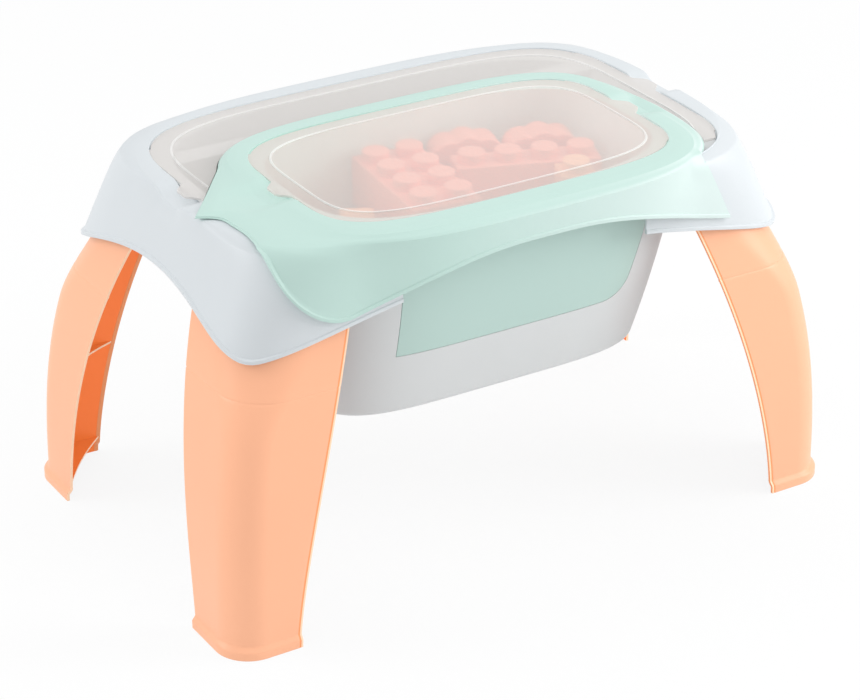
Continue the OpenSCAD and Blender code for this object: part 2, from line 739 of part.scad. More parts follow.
module front_lid() {
    color(frost)
        translate([0, bin_recess_back - bin_y, bin_ledge_z + seat_play]) {
            linear_extrude(height = lid_wall)
                union() {
                    polygon(oval(front_lid_l, front_lid_w, bin_power));
                    tab_shape(front_lid_l, tab_y - bin_recess_back);
                }
            linear_extrude(height = lid_wall + line_h)
                line_shape(front_lid_l, front_lid_w, bin_power);
        }
}

// ---- toy bricks in the bin

bricks_z = bin_floor + bin_wall + seat_play;
upper_z = bricks_z + brick_h + stud_h + seat_play;
sink = 1;

module studs(nx, ny) {
    for (i = [0:nx - 1], j = [0:ny - 1])
        translate([(i - (nx - 1) / 2) * pitch, (j - (ny - 1) / 2) * pitch, brick_h - sink])
            cylinder(d = stud_d, h = stud_h + sink);
}

module brick(nx, ny) {
    l = nx * pitch - 1;
    w = ny * pitch - 1;
    difference() {
        translate([-l / 2, -w / 2, 0])
            cube([l, w, brick_h]);
        translate([-l / 2 + brick_wall, -w / 2 + brick_wall, -sink])
            cube([l - 2 * brick_wall, w - 2 * brick_wall, brick_h - brick_wall + sink]);
    }
    studs(nx, ny);
}

module base_brick(place) {
    color(peach)
        translate([(place - 2.5) * 2 * pitch, (bin_back_low - bin_front(bin_floor)) / 2, bricks_z])
            brick(2, 4);
}

module base_brick_1() { base_brick(1); }
module base_brick_2() { base_brick(2); }
module base_brick_3() { base_brick(3); }
module base_brick_4() { base_brick(4); }

// A brick on top of the lower ones, its place given in stud distances
module upper(x, y, turn) {
    color(peach)
        translate([x * pitch, y * pitch, upper_z])
            rotate([0, 0, turn])
                children();
}

module stud_brick() {
    upper(-0.87, -0.72, -6)
        brick(2, 4);
}

module row_brick() {
    upper(2.36, -1.08, -20)
        brick(4, 1);
}

// A brick whose top ends in three round humps, two studs long
module cloud() {
    depth = 0.87 * pitch;
    hump = 0.49 * pitch;
    translate([0, depth / 2, 0])
        rotate([90, 0, 0])
            linear_extrude(height = depth)
                union() {
                    translate([-pitch, 0])
                        square([2 * pitch, pitch]);
                    for (x = [-0.51, 0.51])
                        translate([x * pitch, 1.08 * pitch])
                            circle(r = hump);
                    translate([0, 1.18 * pitch])
                        circle(r = hump);
                }
}

module cloud_brick_left() {
    upper(1.49, 0.62, -16)
        cloud();
}

module cloud_brick_right() {
    upper(3.44, -0.13, -18)
        cloud();
}

module arch_brick() {
    outer = 0.97 * pitch;
    inner = 0.51 * pitch;
    upper(-2.87, -1.03, 62)
        translate([0, inner, 0])
            rotate([90, 0, 0])
                linear_extrude(height = 0.92 * pitch)
                    difference() {
                        circle(r = outer);
                        circle(r = inner);
                        translate([-2 * outer, -2 * outer])
                            square([4 * outer, 2 * outer]);
                    }
}

module drum_brick() {
    upper(-3.08, -2.82, 0)
        cylinder(r = 0.667 * pitch, h = 1.13 * pitch);
}

module tower_brick() {
    upper(3.03, -2.49, -20)
        brick(1, 1);
}

module ring_brick() {
    tall = 0.667 * pitch;
    upper(1.54, -2.56, 0)
        difference() {
            cylinder(r = 0.615 * pitch, h = tall);
            translate([0, 0, -sink])
                cylinder(r = 0.333 * pitch, h = tall + 2 * sink);
        }
}

table_frame();
storage_tub();
tub_divider();
leg_front_left();
leg_front_right();
leg_rear_left();
leg_rear_right();
back_lid();
front_bin();
front_lid();
base_brick_1();
base_brick_2();
base_brick_3();
base_brick_4();
stud_brick();
row_brick();
cloud_brick_left();
cloud_brick_right();
arch_brick();
drum_brick();
tower_brick();
ring_brick();
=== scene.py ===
# %% [markdown]
# # A toddler's play table with storage
# The table is a set of thin plastic mouldings: a pale grey top with a wavy skirt, four peach legs, a grey tub
# that hangs in the top, and a mint bin that lifts out at the front. Two frosted lids close the compartments.
# The solids are already there as a fixed frame, in metres. This script makes the curved mouldings again with fine
# rows of faces, gives each piece its plastic, and lights and frames the table.

# %% Load the frame
import bpy
import bmesh
import math
from collections import namedtuple
from mathutils import Matrix, Vector


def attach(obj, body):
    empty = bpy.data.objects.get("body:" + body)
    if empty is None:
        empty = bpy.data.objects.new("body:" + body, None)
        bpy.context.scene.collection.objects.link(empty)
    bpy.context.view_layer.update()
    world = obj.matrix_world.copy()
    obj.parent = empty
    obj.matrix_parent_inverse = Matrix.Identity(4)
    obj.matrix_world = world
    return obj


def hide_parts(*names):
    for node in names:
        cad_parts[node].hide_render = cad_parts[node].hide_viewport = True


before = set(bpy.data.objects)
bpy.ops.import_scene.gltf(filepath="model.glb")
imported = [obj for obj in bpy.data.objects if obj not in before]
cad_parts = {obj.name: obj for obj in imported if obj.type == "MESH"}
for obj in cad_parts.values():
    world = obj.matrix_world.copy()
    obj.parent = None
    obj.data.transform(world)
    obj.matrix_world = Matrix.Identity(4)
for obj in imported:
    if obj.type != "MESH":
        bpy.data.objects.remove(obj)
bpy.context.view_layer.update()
scene = bpy.context.scene

# %% [markdown]
# ## Numbers and small helpers
# All the drawing below is in millimetres and degrees, because the mouldings were designed that way. A point is
# turned into metres only when a vertex is placed. The outlines are squared ellipses: a power of 2 is an ellipse,
# and a higher power gives fuller corners. One short formula tells how far such an outline reaches in a direction.

# %% Formulas shared by all the outlines
MM = 0.001


def clamp(x):
    return max(0.0, min(1.0, x))


def smooth(x):
    c = clamp(x)
    return c * c * (3 - 2 * c)


def mix(a, b, f):
    return a + (b - a) * f


def cosd(t):
    return math.cos(math.radians(t))


def sind(t):
    return math.sin(math.radians(t))


def reach(a, b, power, t):
    return 1 / ((abs(cosd(t)) / a) ** power + (abs(sind(t)) / b) ** power) ** (1 / power)


print("a squared ellipse of 300 x 200 reaches", round(reach(300, 200, 3.4, 45), 1), "mm at 45 degrees")

# %% Directions round an outline, closer together where it turns quickly
QUARTER = 64  # directions in a quarter turn
CORNER_AT = 34  # degrees


def quarter_angle(u):
    if u < 0.5:
        return CORNER_AT * (0.7 * u + 0.65 * smooth(2 * u))
    v = 2 * u - 1
    return CORNER_AT + (90 - CORNER_AT) * (0.3 * v + 0.7 * v * v)


def angle_at(i):
    quadrant, k = divmod(i, QUARTER)
    u = k / QUARTER
    return 90 * quadrant + quarter_angle(u) if quadrant % 2 == 0 else 90 * (quadrant + 1) - quarter_angle(1 - u)


ANGLES = [angle_at(i) for i in range(4 * QUARTER)]
print("directions round an outline:", len(ANGLES))

# %% [markdown]
# A moulding's cross-section is a line of points. Real plastic has no knife edges, so each corner of that line is
# turned into a small arc, and the long sweeps between corners are filled in with a smooth spline.

# %% Rounded corners and smooth sweeps on a cross-section
LONGEST = 0.45  # share of a line that a rounded corner may use up


def rounded(points, radii, steps=4, closed=False):
    out = []
    n = len(points)
    for i, p in enumerate(points):
        if radii[i] == 0 or (not closed and i in (0, n - 1)):
            out.append(Vector(p))
            continue
        p, a, b = Vector(p), Vector(points[i - 1]), Vector(points[(i + 1) % n])
        start = p + (a - p) * min(radii[i] / max((a - p).length, 1e-6), LONGEST)
        end = p + (b - p) * min(radii[i] / max((b - p).length, 1e-6), LONGEST)
        for k in range(steps + 1):
            f = k / steps
            out.append(start * (1 - f) ** 2 + p * 2 * f * (1 - f) + end * f * f)
    return out


def swept(points, steps):
    pts = [Vector(p) for p in points]
    out = []
    for i in range(len(pts) - 1):
        p0, p1, p2, p3 = pts[max(i - 1, 0)], pts[i], pts[i + 1], pts[min(i + 2, len(pts) - 1)]
        for k in range(steps):
            f = k / steps
            out.append(0.5 * (2 * p1 + (p2 - p0) * f + (2 * p0 - 5 * p1 + 4 * p2 - p3) * f * f
                              + (3 * p1 - p0 - 3 * p2 + p3) * f ** 3))
    return out + [pts[-1]]


QUARTER_ROUND = [(1 - cosd(a), 1 - sind(a)) for a in range(0, 91, 15)]
print("a rounded corner gives", len(rounded([(0, 0, 0), (10, 0, 0), (10, 10, 0)], [0, 2, 0])), "points")

# %% [markdown]
# ## Bending a sheet of faces
# A moulding like this could be sculpted, or built from a few big faces with a subdivision surface. Both make the
# exact fits between the pieces hard to keep. Here a flat grid is made with one operator and each of its vertices
# is carried to its place: columns go round the outline and rows follow the cross-section. Where the grid meets
# itself its doubles are merged, and open ends are filled.

# %% Helpers that bend a grid and make an object
DOUBLE = 2e-6  # metres


def wrap(columns, closed=False, fill=False):
    around, along = len(columns), len(columns[0])
    rows = along if closed else along - 1
    bm = bmesh.new()
    bmesh.ops.create_grid(bm, x_segments=around, y_segments=rows, size=1)
    for v in bm.verts:
        i = round((v.co.x + 1) / 2 * around) % around
        k = round((v.co.y + 1) / 2 * rows) % along
        v.co = Vector(columns[i][k]) * MM
    bmesh.ops.remove_doubles(bm, verts=bm.verts, dist=DOUBLE)
    if fill:
        rims = [e for e in bm.edges if e.is_boundary]
        bmesh.ops.holes_fill(bm, edges=rims, sides=0)
    bmesh.ops.recalc_face_normals(bm, faces=bm.faces)
    return bm


def sheet_of(columns, strips):
    across, along = len(columns) - 1, len(columns[0]) - 1
    bm = bmesh.new()
    bmesh.ops.create_grid(bm, x_segments=across, y_segments=along, size=1)
    for face in bm.faces:
        face.material_index = strips[int((face.calc_center_median().x + 1) / 2 * across)]
    for v in bm.verts:
        i = round((v.co.x + 1) / 2 * across)
        k = round((v.co.y + 1) / 2 * along)
        v.co = Vector(columns[i][k]) * MM
    bmesh.ops.reverse_faces(bm, faces=bm.faces)
    return bm


def piece(name, bm):
    mesh = bpy.data.meshes.new(name)
    bm.to_mesh(mesh)
    bm.free()
    mesh.shade_smooth()
    obj = bpy.data.objects.new(name, mesh)
    scene.collection.objects.link(obj)
    print(name, len(mesh.polygons), "faces")
    return obj


# %% Helpers that finish a piece


def applied(obj):
    bpy.context.view_layer.update()
    evaluated = obj.evaluated_get(bpy.context.evaluated_depsgraph_get())
    mesh = bpy.data.meshes.new_from_object(evaluated)
    obj.modifiers.clear()
    obj.data = mesh
    return obj


def carve(obj, cutter, operation="DIFFERENCE"):
    modifier = obj.modifiers.new("carve", "BOOLEAN")
    modifier.object = cutter
    modifier.operation = operation
    modifier.solver = "EXACT"
    applied(obj)
    bpy.data.objects.remove(cutter)
    return obj


def even_shading(obj, angle=40):
    mesh = obj.data
    bm = bmesh.new()
    bm.from_mesh(mesh)
    for e in bm.edges:
        e.smooth = len(e.link_faces) == 2 and e.calc_face_angle(0) < math.radians(angle)
    bm.to_mesh(mesh)
    bm.free()
    for polygon in mesh.polygons:
        polygon.use_smooth = True
    weighted = obj.modifiers.new("even shading", "WEIGHTED_NORMAL")
    weighted.keep_sharp = True
    return applied(obj)


def dress(obj, body, materials, slot, *nodes):
    for material in materials if isinstance(materials, list) else [materials]:
        obj.data.materials.append(material)
    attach(obj, body)
    if nodes:
        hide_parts(*nodes)
    return obj


# %% [markdown]
# ## The plastics
# All the mouldings are injection-moulded plastic with a fine satin texture from the tool. That takes three things:
# a colour that is never perfectly even, a roughness that drifts a little, and a very fine bump. An image texture
# could carry these too, but it needs a flat map of each piece. Noise in the object's own space needs none. It is
# the same on every piece, so it is one node group with named inputs, used by each material.

# %% The node group for a moulded surface


def made(nodes, *kinds):
    return [nodes.new("ShaderNode" + kind) for kind in kinds]


def put(node, values):
    for socket, value in values.items():
        node.inputs[socket].default_value = value


def moulded_surface():
    group = bpy.data.node_groups.new("moulded surface", "ShaderNodeTree")
    for name, kind, value in (("Vector", "NodeSocketVector", None), ("Grain", "NodeSocketFloat", 2600.0),
                              ("Drift", "NodeSocketFloat", 9.0)):
        socket = group.interface.new_socket(name, in_out="INPUT", socket_type=kind)
        if value is not None:
            socket.default_value = value
    for name in ("Height", "Mottle"):
        group.interface.new_socket(name, in_out="OUTPUT", socket_type="NodeSocketFloat")
    nodes, link = group.nodes, group.links.new
    come, go = nodes.new("NodeGroupInput"), nodes.new("NodeGroupOutput")
    fine, broad = made(nodes, "TexNoise", "TexNoise")
    put(fine, {"Detail": 2})
    put(broad, {"Detail": 3})
    link(come.outputs["Vector"], fine.inputs["Vector"])
    link(come.outputs["Vector"], broad.inputs["Vector"])
    link(come.outputs["Grain"], fine.inputs["Scale"])
    link(come.outputs["Drift"], broad.inputs["Scale"])
    link(fine.outputs["Fac"], go.inputs["Height"])
    link(broad.outputs["Fac"], go.inputs["Mottle"])
    return group


MOULDED = moulded_surface()
print("node group:", MOULDED.name)

# %% [markdown]
# The peach legs are thin and let light through, so that their shaded sides stay warm. Subsurface scattering would do
# it, slowly and with noise. Here a painted glow stands for it, a faint light of the plastic's own shown to the camera
# alone: `glow` is its strength and `warm` deepens its colour. `calm` greys the light that the plastic passes on to its
# neighbours.

# %% A material for a moulded piece
PLASTIC_IOR, CALM_GREY = 1.48, (0.8, 0.8, 0.8, 1)


def srgb(r, g, b):
    shares = [c / 255 for c in (r, g, b)]
    return tuple(c / 12.92 if c <= 0.04045 else ((c + 0.055) / 1.055) ** 2.4 for c in shares)


def moulded(name, colour, shade=0.96, rough=(0.34, 0.44), grain=0.00006, glow=0.0, calm=0.0, warm=1):
    material = bpy.data.materials.new(name)
    material.use_nodes = True
    nodes, link = material.node_tree.nodes, material.node_tree.links.new
    shader = nodes["Principled BSDF"]
    put(shader, {"IOR": PLASTIC_IOR, "Emission Strength": glow})
    place, surface, path, share, span, bump = made(nodes, "TexCoord", "Group", "LightPath", "Math", "MapRange", "Bump")
    tint, bounce, lit = made(nodes, "Mix", "Mix", "Mix")
    tint.data_type = bounce.data_type = lit.data_type = "RGBA"
    surface.node_tree = MOULDED
    link(place.outputs["Object"], surface.inputs["Vector"])
    put(tint, {"A": (*colour, 1), "B": (*[c * shade for c in colour], 1)})
    link(surface.outputs["Mottle"], tint.inputs["Factor"])
    share.operation = "MULTIPLY"
    put(share, {1: calm})
    link(path.outputs["Is Diffuse Ray"], share.inputs[0])
    put(bounce, {"B": CALM_GREY})
    link(share.outputs[0], bounce.inputs["Factor"])
    link(tint.outputs["Result"], bounce.inputs["A"])
    link(bounce.outputs["Result"], shader.inputs["Base Color"])
    put(lit, {"A": (0, 0, 0, 1), "B": (*[c ** warm for c in colour], 1)})
    link(path.outputs["Is Camera Ray"], lit.inputs["Factor"])
    link(lit.outputs["Result"], shader.inputs["Emission Color"])
    put(span, {"To Min": rough[0], "To Max": rough[1]})
    link(surface.outputs["Mottle"], span.inputs["Value"])
    link(span.outputs["Result"], shader.inputs["Roughness"])
    put(bump, {"Distance": grain, "Strength": 0.5})
    link(surface.outputs["Height"], bump.inputs["Height"])
    link(bump.outputs["Normal"], shader.inputs["Normal"])
    return material


grey_plastic = moulded("pale grey plastic", srgb(226, 231, 234))
tub_plastic = moulded("warm grey plastic", srgb(228, 230, 230))
peach_plastic = moulded("peach plastic", srgb(251, 188, 151), glow=0.18, calm=0.8, warm=1.5)
# The inside copy is a deeper orange that glows more: painted shade, warmed by a painted glow for light trapped in the
# hollow.
shaded_peach = moulded("peach plastic inside, painted shade", srgb(254, 124, 54), glow=0.36, calm=0.8)
# The groove copy is a darker orange: painted shade in the shallow groove by the leg's open edge.
painted_groove_shade = moulded("peach plastic groove, painted shade", srgb(251, 160, 106), glow=0.20, calm=0.8)
# The edge copy is paler and glows: a painted highlight along the leg's wall edges and the webs' sides.
painted_edge_highlight = moulded("peach plastic edge, painted highlight", srgb(255, 212, 178), glow=0.26, calm=0.8)
mint_plastic = moulded("mint plastic", srgb(203, 232, 223))
# The panel's mint is darker: painted shade from the skirt that overhangs it.
shaded_mint_panel = moulded("mint plastic, panel with painted shade", srgb(197, 224, 216))
coral_plastic = moulded("coral plastic", srgb(250, 150, 124))
apricot_plastic = moulded("apricot plastic", srgb(251, 178, 128))
print("materials:", len(bpy.data.materials))

# %% [markdown]
# The mint skirt is paler towards its right end, from light and sheen falling there. A second lamp there would bleach
# the leg below it as well, so that light is painted into the colour: it grows with the place along the table, and only
# on faces that are steep enough to be skirt.

# %% Painted light makes the mint paler to the right
FLAT_Z, STEEP_Z = 0.99, 0.72  # a face's upward share, on the rim and on the skirt


def painted_light_to_the_right(material, pale, start, end):
    nodes, link = material.node_tree.nodes, material.node_tree.links.new
    feed = nodes["Principled BSDF"].inputs["Base Color"].links[0].from_socket
    place, split, span, blend = made(nodes, "TexCoord", "SeparateXYZ", "MapRange", "Mix")
    face, up, steep, both = made(nodes, "NewGeometry", "SeparateXYZ", "MapRange", "Math")
    blend.data_type = "RGBA"
    put(span, {"From Min": start, "From Max": end})
    link(place.outputs["Object"], split.inputs["Vector"])
    link(split.outputs["X"], span.inputs["Value"])
    put(steep, {"From Min": FLAT_Z, "From Max": STEEP_Z})
    both.operation = "MULTIPLY"
    link(face.outputs["Normal"], up.inputs["Vector"])
    link(up.outputs["Z"], steep.inputs["Value"])
    link(span.outputs["Result"], both.inputs[0])
    link(steep.outputs["Result"], both.inputs[1])
    link(both.outputs[0], blend.inputs["Factor"])
    link(feed, blend.inputs["A"])
    put(blend, {"B": (*pale, 1)})
    link(blend.outputs["Result"], nodes["Principled BSDF"].inputs["Base Color"])


painted_light_to_the_right(mint_plastic, srgb(228, 242, 239), -0.12, 0.26)
print("nodes in the mint:", len(mint_plastic.node_tree.nodes))

# %% [markdown]
# The lids are a milky, half clear plastic. A true frosted glass shader bends light and needs many samples, and a
# thin lid hardly bends it anyway. So the lid is a satin white film that lets part of the view through, and turns
# denser where it is seen edge on, which Layer Weight gives. Only the side that faces the viewer counts, so the film
# isn't seen twice. Milky plastic scatters light but stops little of it, so shadow and diffuse rays pass more easily.

# %% The lids' material
EDGE_ON, LIGHT_STOPPED = 0.35, 0.12


def frosted(name, colour, clear, edge):
    material = moulded(name, colour, shade=0.98, rough=(0.30, 0.40), grain=0.00003)
    nodes, link = material.node_tree.nodes, material.node_tree.links.new
    weight, span, side, path = made(nodes, "LayerWeight", "MapRange", "NewGeometry", "LightPath")
    light, once, passed = made(nodes, "Math", "Mix", "Mix")
    put(weight, {"Blend": EDGE_ON})
    put(span, {"To Min": clear, "To Max": edge})
    link(weight.outputs["Facing"], span.inputs["Value"])
    light.operation = "MAXIMUM"
    link(path.outputs["Is Shadow Ray"], light.inputs[0])
    link(path.outputs["Is Diffuse Ray"], light.inputs[1])
    link(light.outputs[0], passed.inputs["Factor"])
    link(span.outputs["Result"], passed.inputs["A"])
    put(passed, {"B": LIGHT_STOPPED})
    link(side.outputs["Backfacing"], once.inputs["Factor"])
    link(passed.outputs["Result"], once.inputs["A"])
    put(once, {"B": 0})
    link(once.outputs["Result"], nodes["Principled BSDF"].inputs["Alpha"])
    return material


frosted_plastic = frosted("frosted plastic", srgb(252, 239, 234), 0.44, 0.80)
# The raised line's films are whiter than their plates: a painted highlight along the line.
highlit_ridge_plastic = frosted("frosted plastic, raised line with painted highlight", srgb(255, 252, 249), 0.70, 0.86)
border_plastic = frosted("frosted plastic, border", srgb(232, 219, 213), 0.66, 0.86)
milky_plastic = frosted("frosted plastic, denser", srgb(226, 221, 217), 0.74, 0.88)
soft_highlit_ridge_plastic = frosted("frosted plastic, denser raised line with painted highlight", srgb(246, 243, 240), 0.74, 0.86)
print("lid materials:", len([m for m in bpy.data.materials if "frosted" in m.name]))

# %% [markdown]
# ## The table's frame
# The top is one moulding: a ledge for the tub, a flat rim, a round shoulder and a skirt that falls in four lobes
# over the legs and rises in an arch between them. The skirt flares at the ends and its outline gets squarer on the
# way down. So the cross-section is worked out in each direction and the grid is bent round through all of them.

# %% The frame's main sizes
RIM_H, HALF_L, HALF_W, RIM_POWER = 400, 299.5, 203, 3.4
RECESS_L, RECESS_W, RECESS_Y, RECESS_POWER = 276.5, 189, 9, 4.6
HOLE_L, HOLE_W, TUB_POWER = 265.5, 178, 3.6
LEDGE_Z, FRAME_WALL, LOBE_DROP, BEAD_H, BEAD_OUT = 393.4, 2.6, 105, 5, 1.2
FLARE_L, FLARE_W, FLARE_POWER = 39, 2, 4.1  # what the skirt gains down to the lobes
ARCH_AT_ENDS, ARCH_AT_SIDES, ARCH_INSET = 38, 51, 18
SCOOP_DEEP, SCOOP_HALF, SCOOP_Y = 8, 34, 6


def skirt_l(d):
    return HALF_L + FLARE_L * (max(d, 0) / LOBE_DROP) ** 1.2


def skirt_w(d):
    return HALF_W + FLARE_W * (max(d, 0) / LOBE_DROP) ** 0.8


def skirt_power(d):
    return RIM_POWER + FLARE_POWER * (max(d, 0) / LOBE_DROP) ** 0.42


def skirt_reach(d, t, inside=0):
    return reach(skirt_l(d) - inside, skirt_w(d) - inside, skirt_power(d), t)


print("skirt at its lowest:", round(skirt_l(LOBE_DROP), 1), "x", round(skirt_w(LOBE_DROP), 1))

# %% The wavy edge and the finger scoops


def arch(u):
    return max(0.0, 1 - u * u) ** 1.15


def edge_drop(t):
    r = skirt_reach(LOBE_DROP, t)
    return (LOBE_DROP - ARCH_AT_SIDES * arch(r * cosd(t) / (skirt_l(LOBE_DROP) - ARCH_INSET))
            - ARCH_AT_ENDS * arch(r * sind(t) / (skirt_w(LOBE_DROP) - ARCH_INSET)))


def scoop(t, y):
    return 0 if abs(cosd(t)) < 1e-6 else smooth(1.7 * (1 - abs(y - SCOOP_Y) / SCOOP_HALF))


print("edge drop at a corner:", round(edge_drop(33), 1), "and at the front:", round(edge_drop(270), 1))

# %% One column of the frame: its cross-section in one direction


def frame_column(t):
    rr, rs = reach(RECESS_L, RECESS_W, RECESS_POWER, t), reach(HALF_L, HALF_W, RIM_POWER, t)
    hole, drop = reach(HOLE_L, HOLE_W, TUB_POWER, t), edge_drop(t)
    dip_in, dip = SCOOP_DEEP * scoop(t, rr * sind(t) - RECESS_Y), SCOOP_DEEP * scoop(t, rs * sind(t))
    top = rounded([(hole, LEDGE_Z, RECESS_Y), (rr, LEDGE_Z - 0.2 * dip_in, RECESS_Y), (rr, RIM_H - dip_in, RECESS_Y),
                   (mix(rr, rs, 0.6), RIM_H - 0.3 - mix(dip_in, dip, 0.6), 0.4 * RECESS_Y),
                   (rs, RIM_H - 1 - dip, 0), (skirt_reach(5, t), RIM_H - 5 - 0.9 * dip, 0)],
                  [0, 0.8, 1.6, 5, 3.2, 0])
    outside = []
    for k in range(1, 15):
        f = (k / 14) ** 1.25
        d = mix(5, drop - BEAD_H, f)
        outside.append(Vector((skirt_reach(d, t), RIM_H - d - dip * max(0.0, 0.8 - 2 * f), 0)))
    bead, foot, ceiling = skirt_reach(drop, t) + BEAD_OUT, RIM_H - drop, LEDGE_Z - FRAME_WALL
    edge = rounded([outside[-1], (bead, foot + BEAD_H - 1.2, 0), (bead, foot, 0),
                    (skirt_reach(drop, t, FRAME_WALL), foot, 0),
                    (skirt_reach(0.9 * drop, t, FRAME_WALL), RIM_H - 0.9 * drop, 0)], [0, 0.9, 1.0, 0.8, 0], steps=3)
    inside = [(skirt_reach(f * drop, t, FRAME_WALL), RIM_H - f * drop, 0) for f in (0.75, 0.6, 0.45, 0.3)]
    under = [(skirt_reach(9, t, FRAME_WALL), ceiling - 2 - 0.8 * dip, 0),
             (mix(rr, rs, 0.4), ceiling - 0.6 * dip, 0.6 * RECESS_Y), (hole, ceiling, RECESS_Y)]
    line = top + outside[:-1] + edge + [Vector(p) for p in inside + under]
    return [(p[0] * cosd(t), p[0] * sind(t) - p[2], p[1]) for p in line]


print("points in a column of the frame:", len(frame_column(0)))

# %% Bend the frame
frame_piece = piece("frame_moulding", wrap([frame_column(t) for t in ANGLES], closed=True))

# %% [markdown]
# The skirt is open in front, over the tub's window, where the bin's own skirt hides it. A boolean with a plain box
# cuts that opening. The pegs that hold the legs are tubes, each spun from a small rectangle. A box and a tube could
# be ready-made primitives, but a spun or pushed outline can have its corners rounded first.

# %% Spun, pushed and joined shapes


def spun(profile, x=0, y=0, z=0, steps=48):
    bm = bmesh.new()
    verts = [bm.verts.new(Vector((p[0], 0, p[1])) * MM) for p in profile]
    edges = [bm.edges.new((verts[i], verts[(i + 1) % len(verts)])) for i in range(len(verts))]
    bmesh.ops.spin(bm, geom=verts + edges, cent=(0, 0, 0), axis=(0, 0, 1), angle=math.tau, steps=steps,
                   use_merge=True)
    bmesh.ops.remove_doubles(bm, verts=bm.verts, dist=DOUBLE)
    bmesh.ops.recalc_face_normals(bm, faces=bm.faces)
    bmesh.ops.translate(bm, verts=bm.verts, vec=Vector((x, y, z)) * MM)
    return bm


def box(low, high):
    bm = bmesh.new()
    bmesh.ops.create_cube(bm, size=1)
    size = Vector(high) - Vector(low)
    bmesh.ops.scale(bm, verts=bm.verts, vec=size * MM)
    bmesh.ops.translate(bm, verts=bm.verts, vec=(Vector(low) + size / 2) * MM)
    return bm


def pushed_out(points, way):
    bm = bmesh.new()
    face = bm.faces.new([bm.verts.new(Vector(p) * MM) for p in points])
    pushed = bmesh.ops.extrude_face_region(bm, geom=[face])
    moved = [g for g in pushed["geom"] if isinstance(g, bmesh.types.BMVert)]
    bmesh.ops.translate(bm, verts=moved, vec=Vector(way) * MM)
    bmesh.ops.recalc_face_normals(bm, faces=bm.faces)
    return bm


def softened(bm, edges, offset, segments, clamped=True):
    bmesh.ops.bevel(bm, geom=edges, offset=offset * MM, offset_type="OFFSET", segments=segments, profile=0.5,
                    affect="EDGES", material=-1, clamp_overlap=clamped)
    return bm


def soft_plate(name, points, way, offset, segments, clamped=True):
    bm = pushed_out(points, way)
    rims = [e for e in bm.edges if abs((e.verts[0].co - e.verts[1].co).dot(Vector(way))) < 1e-6]
    return piece(name, softened(bm, rims, offset, segments, clamped))


def joined(name, objects):
    bm = bmesh.new()
    for obj in objects:
        bm.from_mesh(obj.data)
        bpy.data.objects.remove(obj)
    return piece(name, bm)


# %% Cut the opening and set the pegs
OPENING = (-155, -243, 294), (133, -143, 376)
PEG_X, PEG_Y, PEG_R, PEG_WALL, PEG_H, PEG_DOWN = 248, 156, 11, 2.5, 60, 68


def tube(inner, outer, height, radius, steps):
    corners = [(inner, 0, 0), (outer, 0, 0), (outer, height, 0), (inner, height, 0)]
    return rounded(corners, [radius] * 4, steps, True)


carve(frame_piece, piece("opening", box(*OPENING)))
even_shading(frame_piece)
peg = tube(PEG_R - PEG_WALL, PEG_R, PEG_H, 0.6, 3)
pegs = [piece("peg", spun(peg, px, py, RIM_H - PEG_DOWN)) for px in (-PEG_X, PEG_X) for py in (-PEG_Y, PEG_Y)]
pegs_piece = joined("leg_pegs", pegs)
dress(frame_piece, "table", grey_plastic, "table_frame", "table_frame")
dress(pegs_piece, "table", grey_plastic, "table_frame")

# %% [markdown]
# ## The tub
# The tub hangs in the frame on a thin flange. It narrows on the way down, slowly at first on the long sides, and its
# corners get squarer. A box scaled down would keep its corners, so the tub is bent from a grid like the frame. Its
# window in the front wall is cut with a prism whose lower right corner is round.

# %% The tub's sizes
TUB_L, TUB_W, TUB_FLOOR, TUB_WALL, TUB_FLANGE, TUB_TURN = 264.5, 177, 171, 2.6, 2.8, 8
TAPER_L, TAPER_W, TAPER_POWER = 69, 44, 1.2  # what the tub loses or gains down to its floor
LID_PLAY = 1.2


def tub_at(z):
    share = max(0.0, (LEDGE_Z - z) / (LEDGE_Z - TUB_FLOOR))
    return TUB_L - TAPER_L * share ** 0.65, TUB_W - TAPER_W * share ** 1.9, TUB_POWER + TAPER_POWER * share


def tub_point(z, t, inside=0, height=None):
    a, b, power = tub_at(z)
    r = reach(a - inside, b - inside, power, t)
    return r * cosd(t), r * sind(t) - RECESS_Y, z if height is None else height


def tub_column(t):
    floor, inner = TUB_FLOOR, TUB_WALL
    levels = [mix(LEDGE_Z, floor, k / 24) for k in range(24)]
    into = [tub_point(floor + inner + TUB_TURN * v, t, inner + TUB_TURN * u) for u, v in reversed(QUARTER_ROUND)]
    walls = [z for z in reversed(levels) if z > floor + inner + TUB_TURN + 4]
    line = into + [tub_point(z, t, inner) for z in walls]
    r, top = reach(RECESS_L - LID_PLAY, RECESS_W - LID_PLAY, RECESS_POWER, t), LEDGE_Z + TUB_FLANGE
    x, y = r * cosd(t), r * sind(t) - RECESS_Y
    flange = rounded([tub_point(LEDGE_Z, t, inner), tub_point(LEDGE_Z, t, inner, top), (x, y, top), (x, y, LEDGE_Z),
                      tub_point(LEDGE_Z, t)], [0, 1.4, 0.8, 0.5, 0], steps=3)
    outer = [tub_point(z, t) for z in levels[1:] if z > floor + TUB_TURN + 4]
    out = [tub_point(floor + TUB_TURN * v, t, TUB_TURN * u) for u, v in QUARTER_ROUND]
    return line + [tuple(p) for p in flange[1:]] + outer + out


print("points in a column of the tub:", len(tub_column(0)))

# %% Bend the tub
tub_piece = piece("tub_moulding", wrap([tub_column(t) for t in ANGLES], fill=True))

# %% The window's outline and its prism
SILL, WINDOW_LEFT, WINDOW_RIGHT, WINDOW_LEAN, WINDOW_ROUND, WINDOW_GAP = 249, 138, 157, 15, 34, 0.3


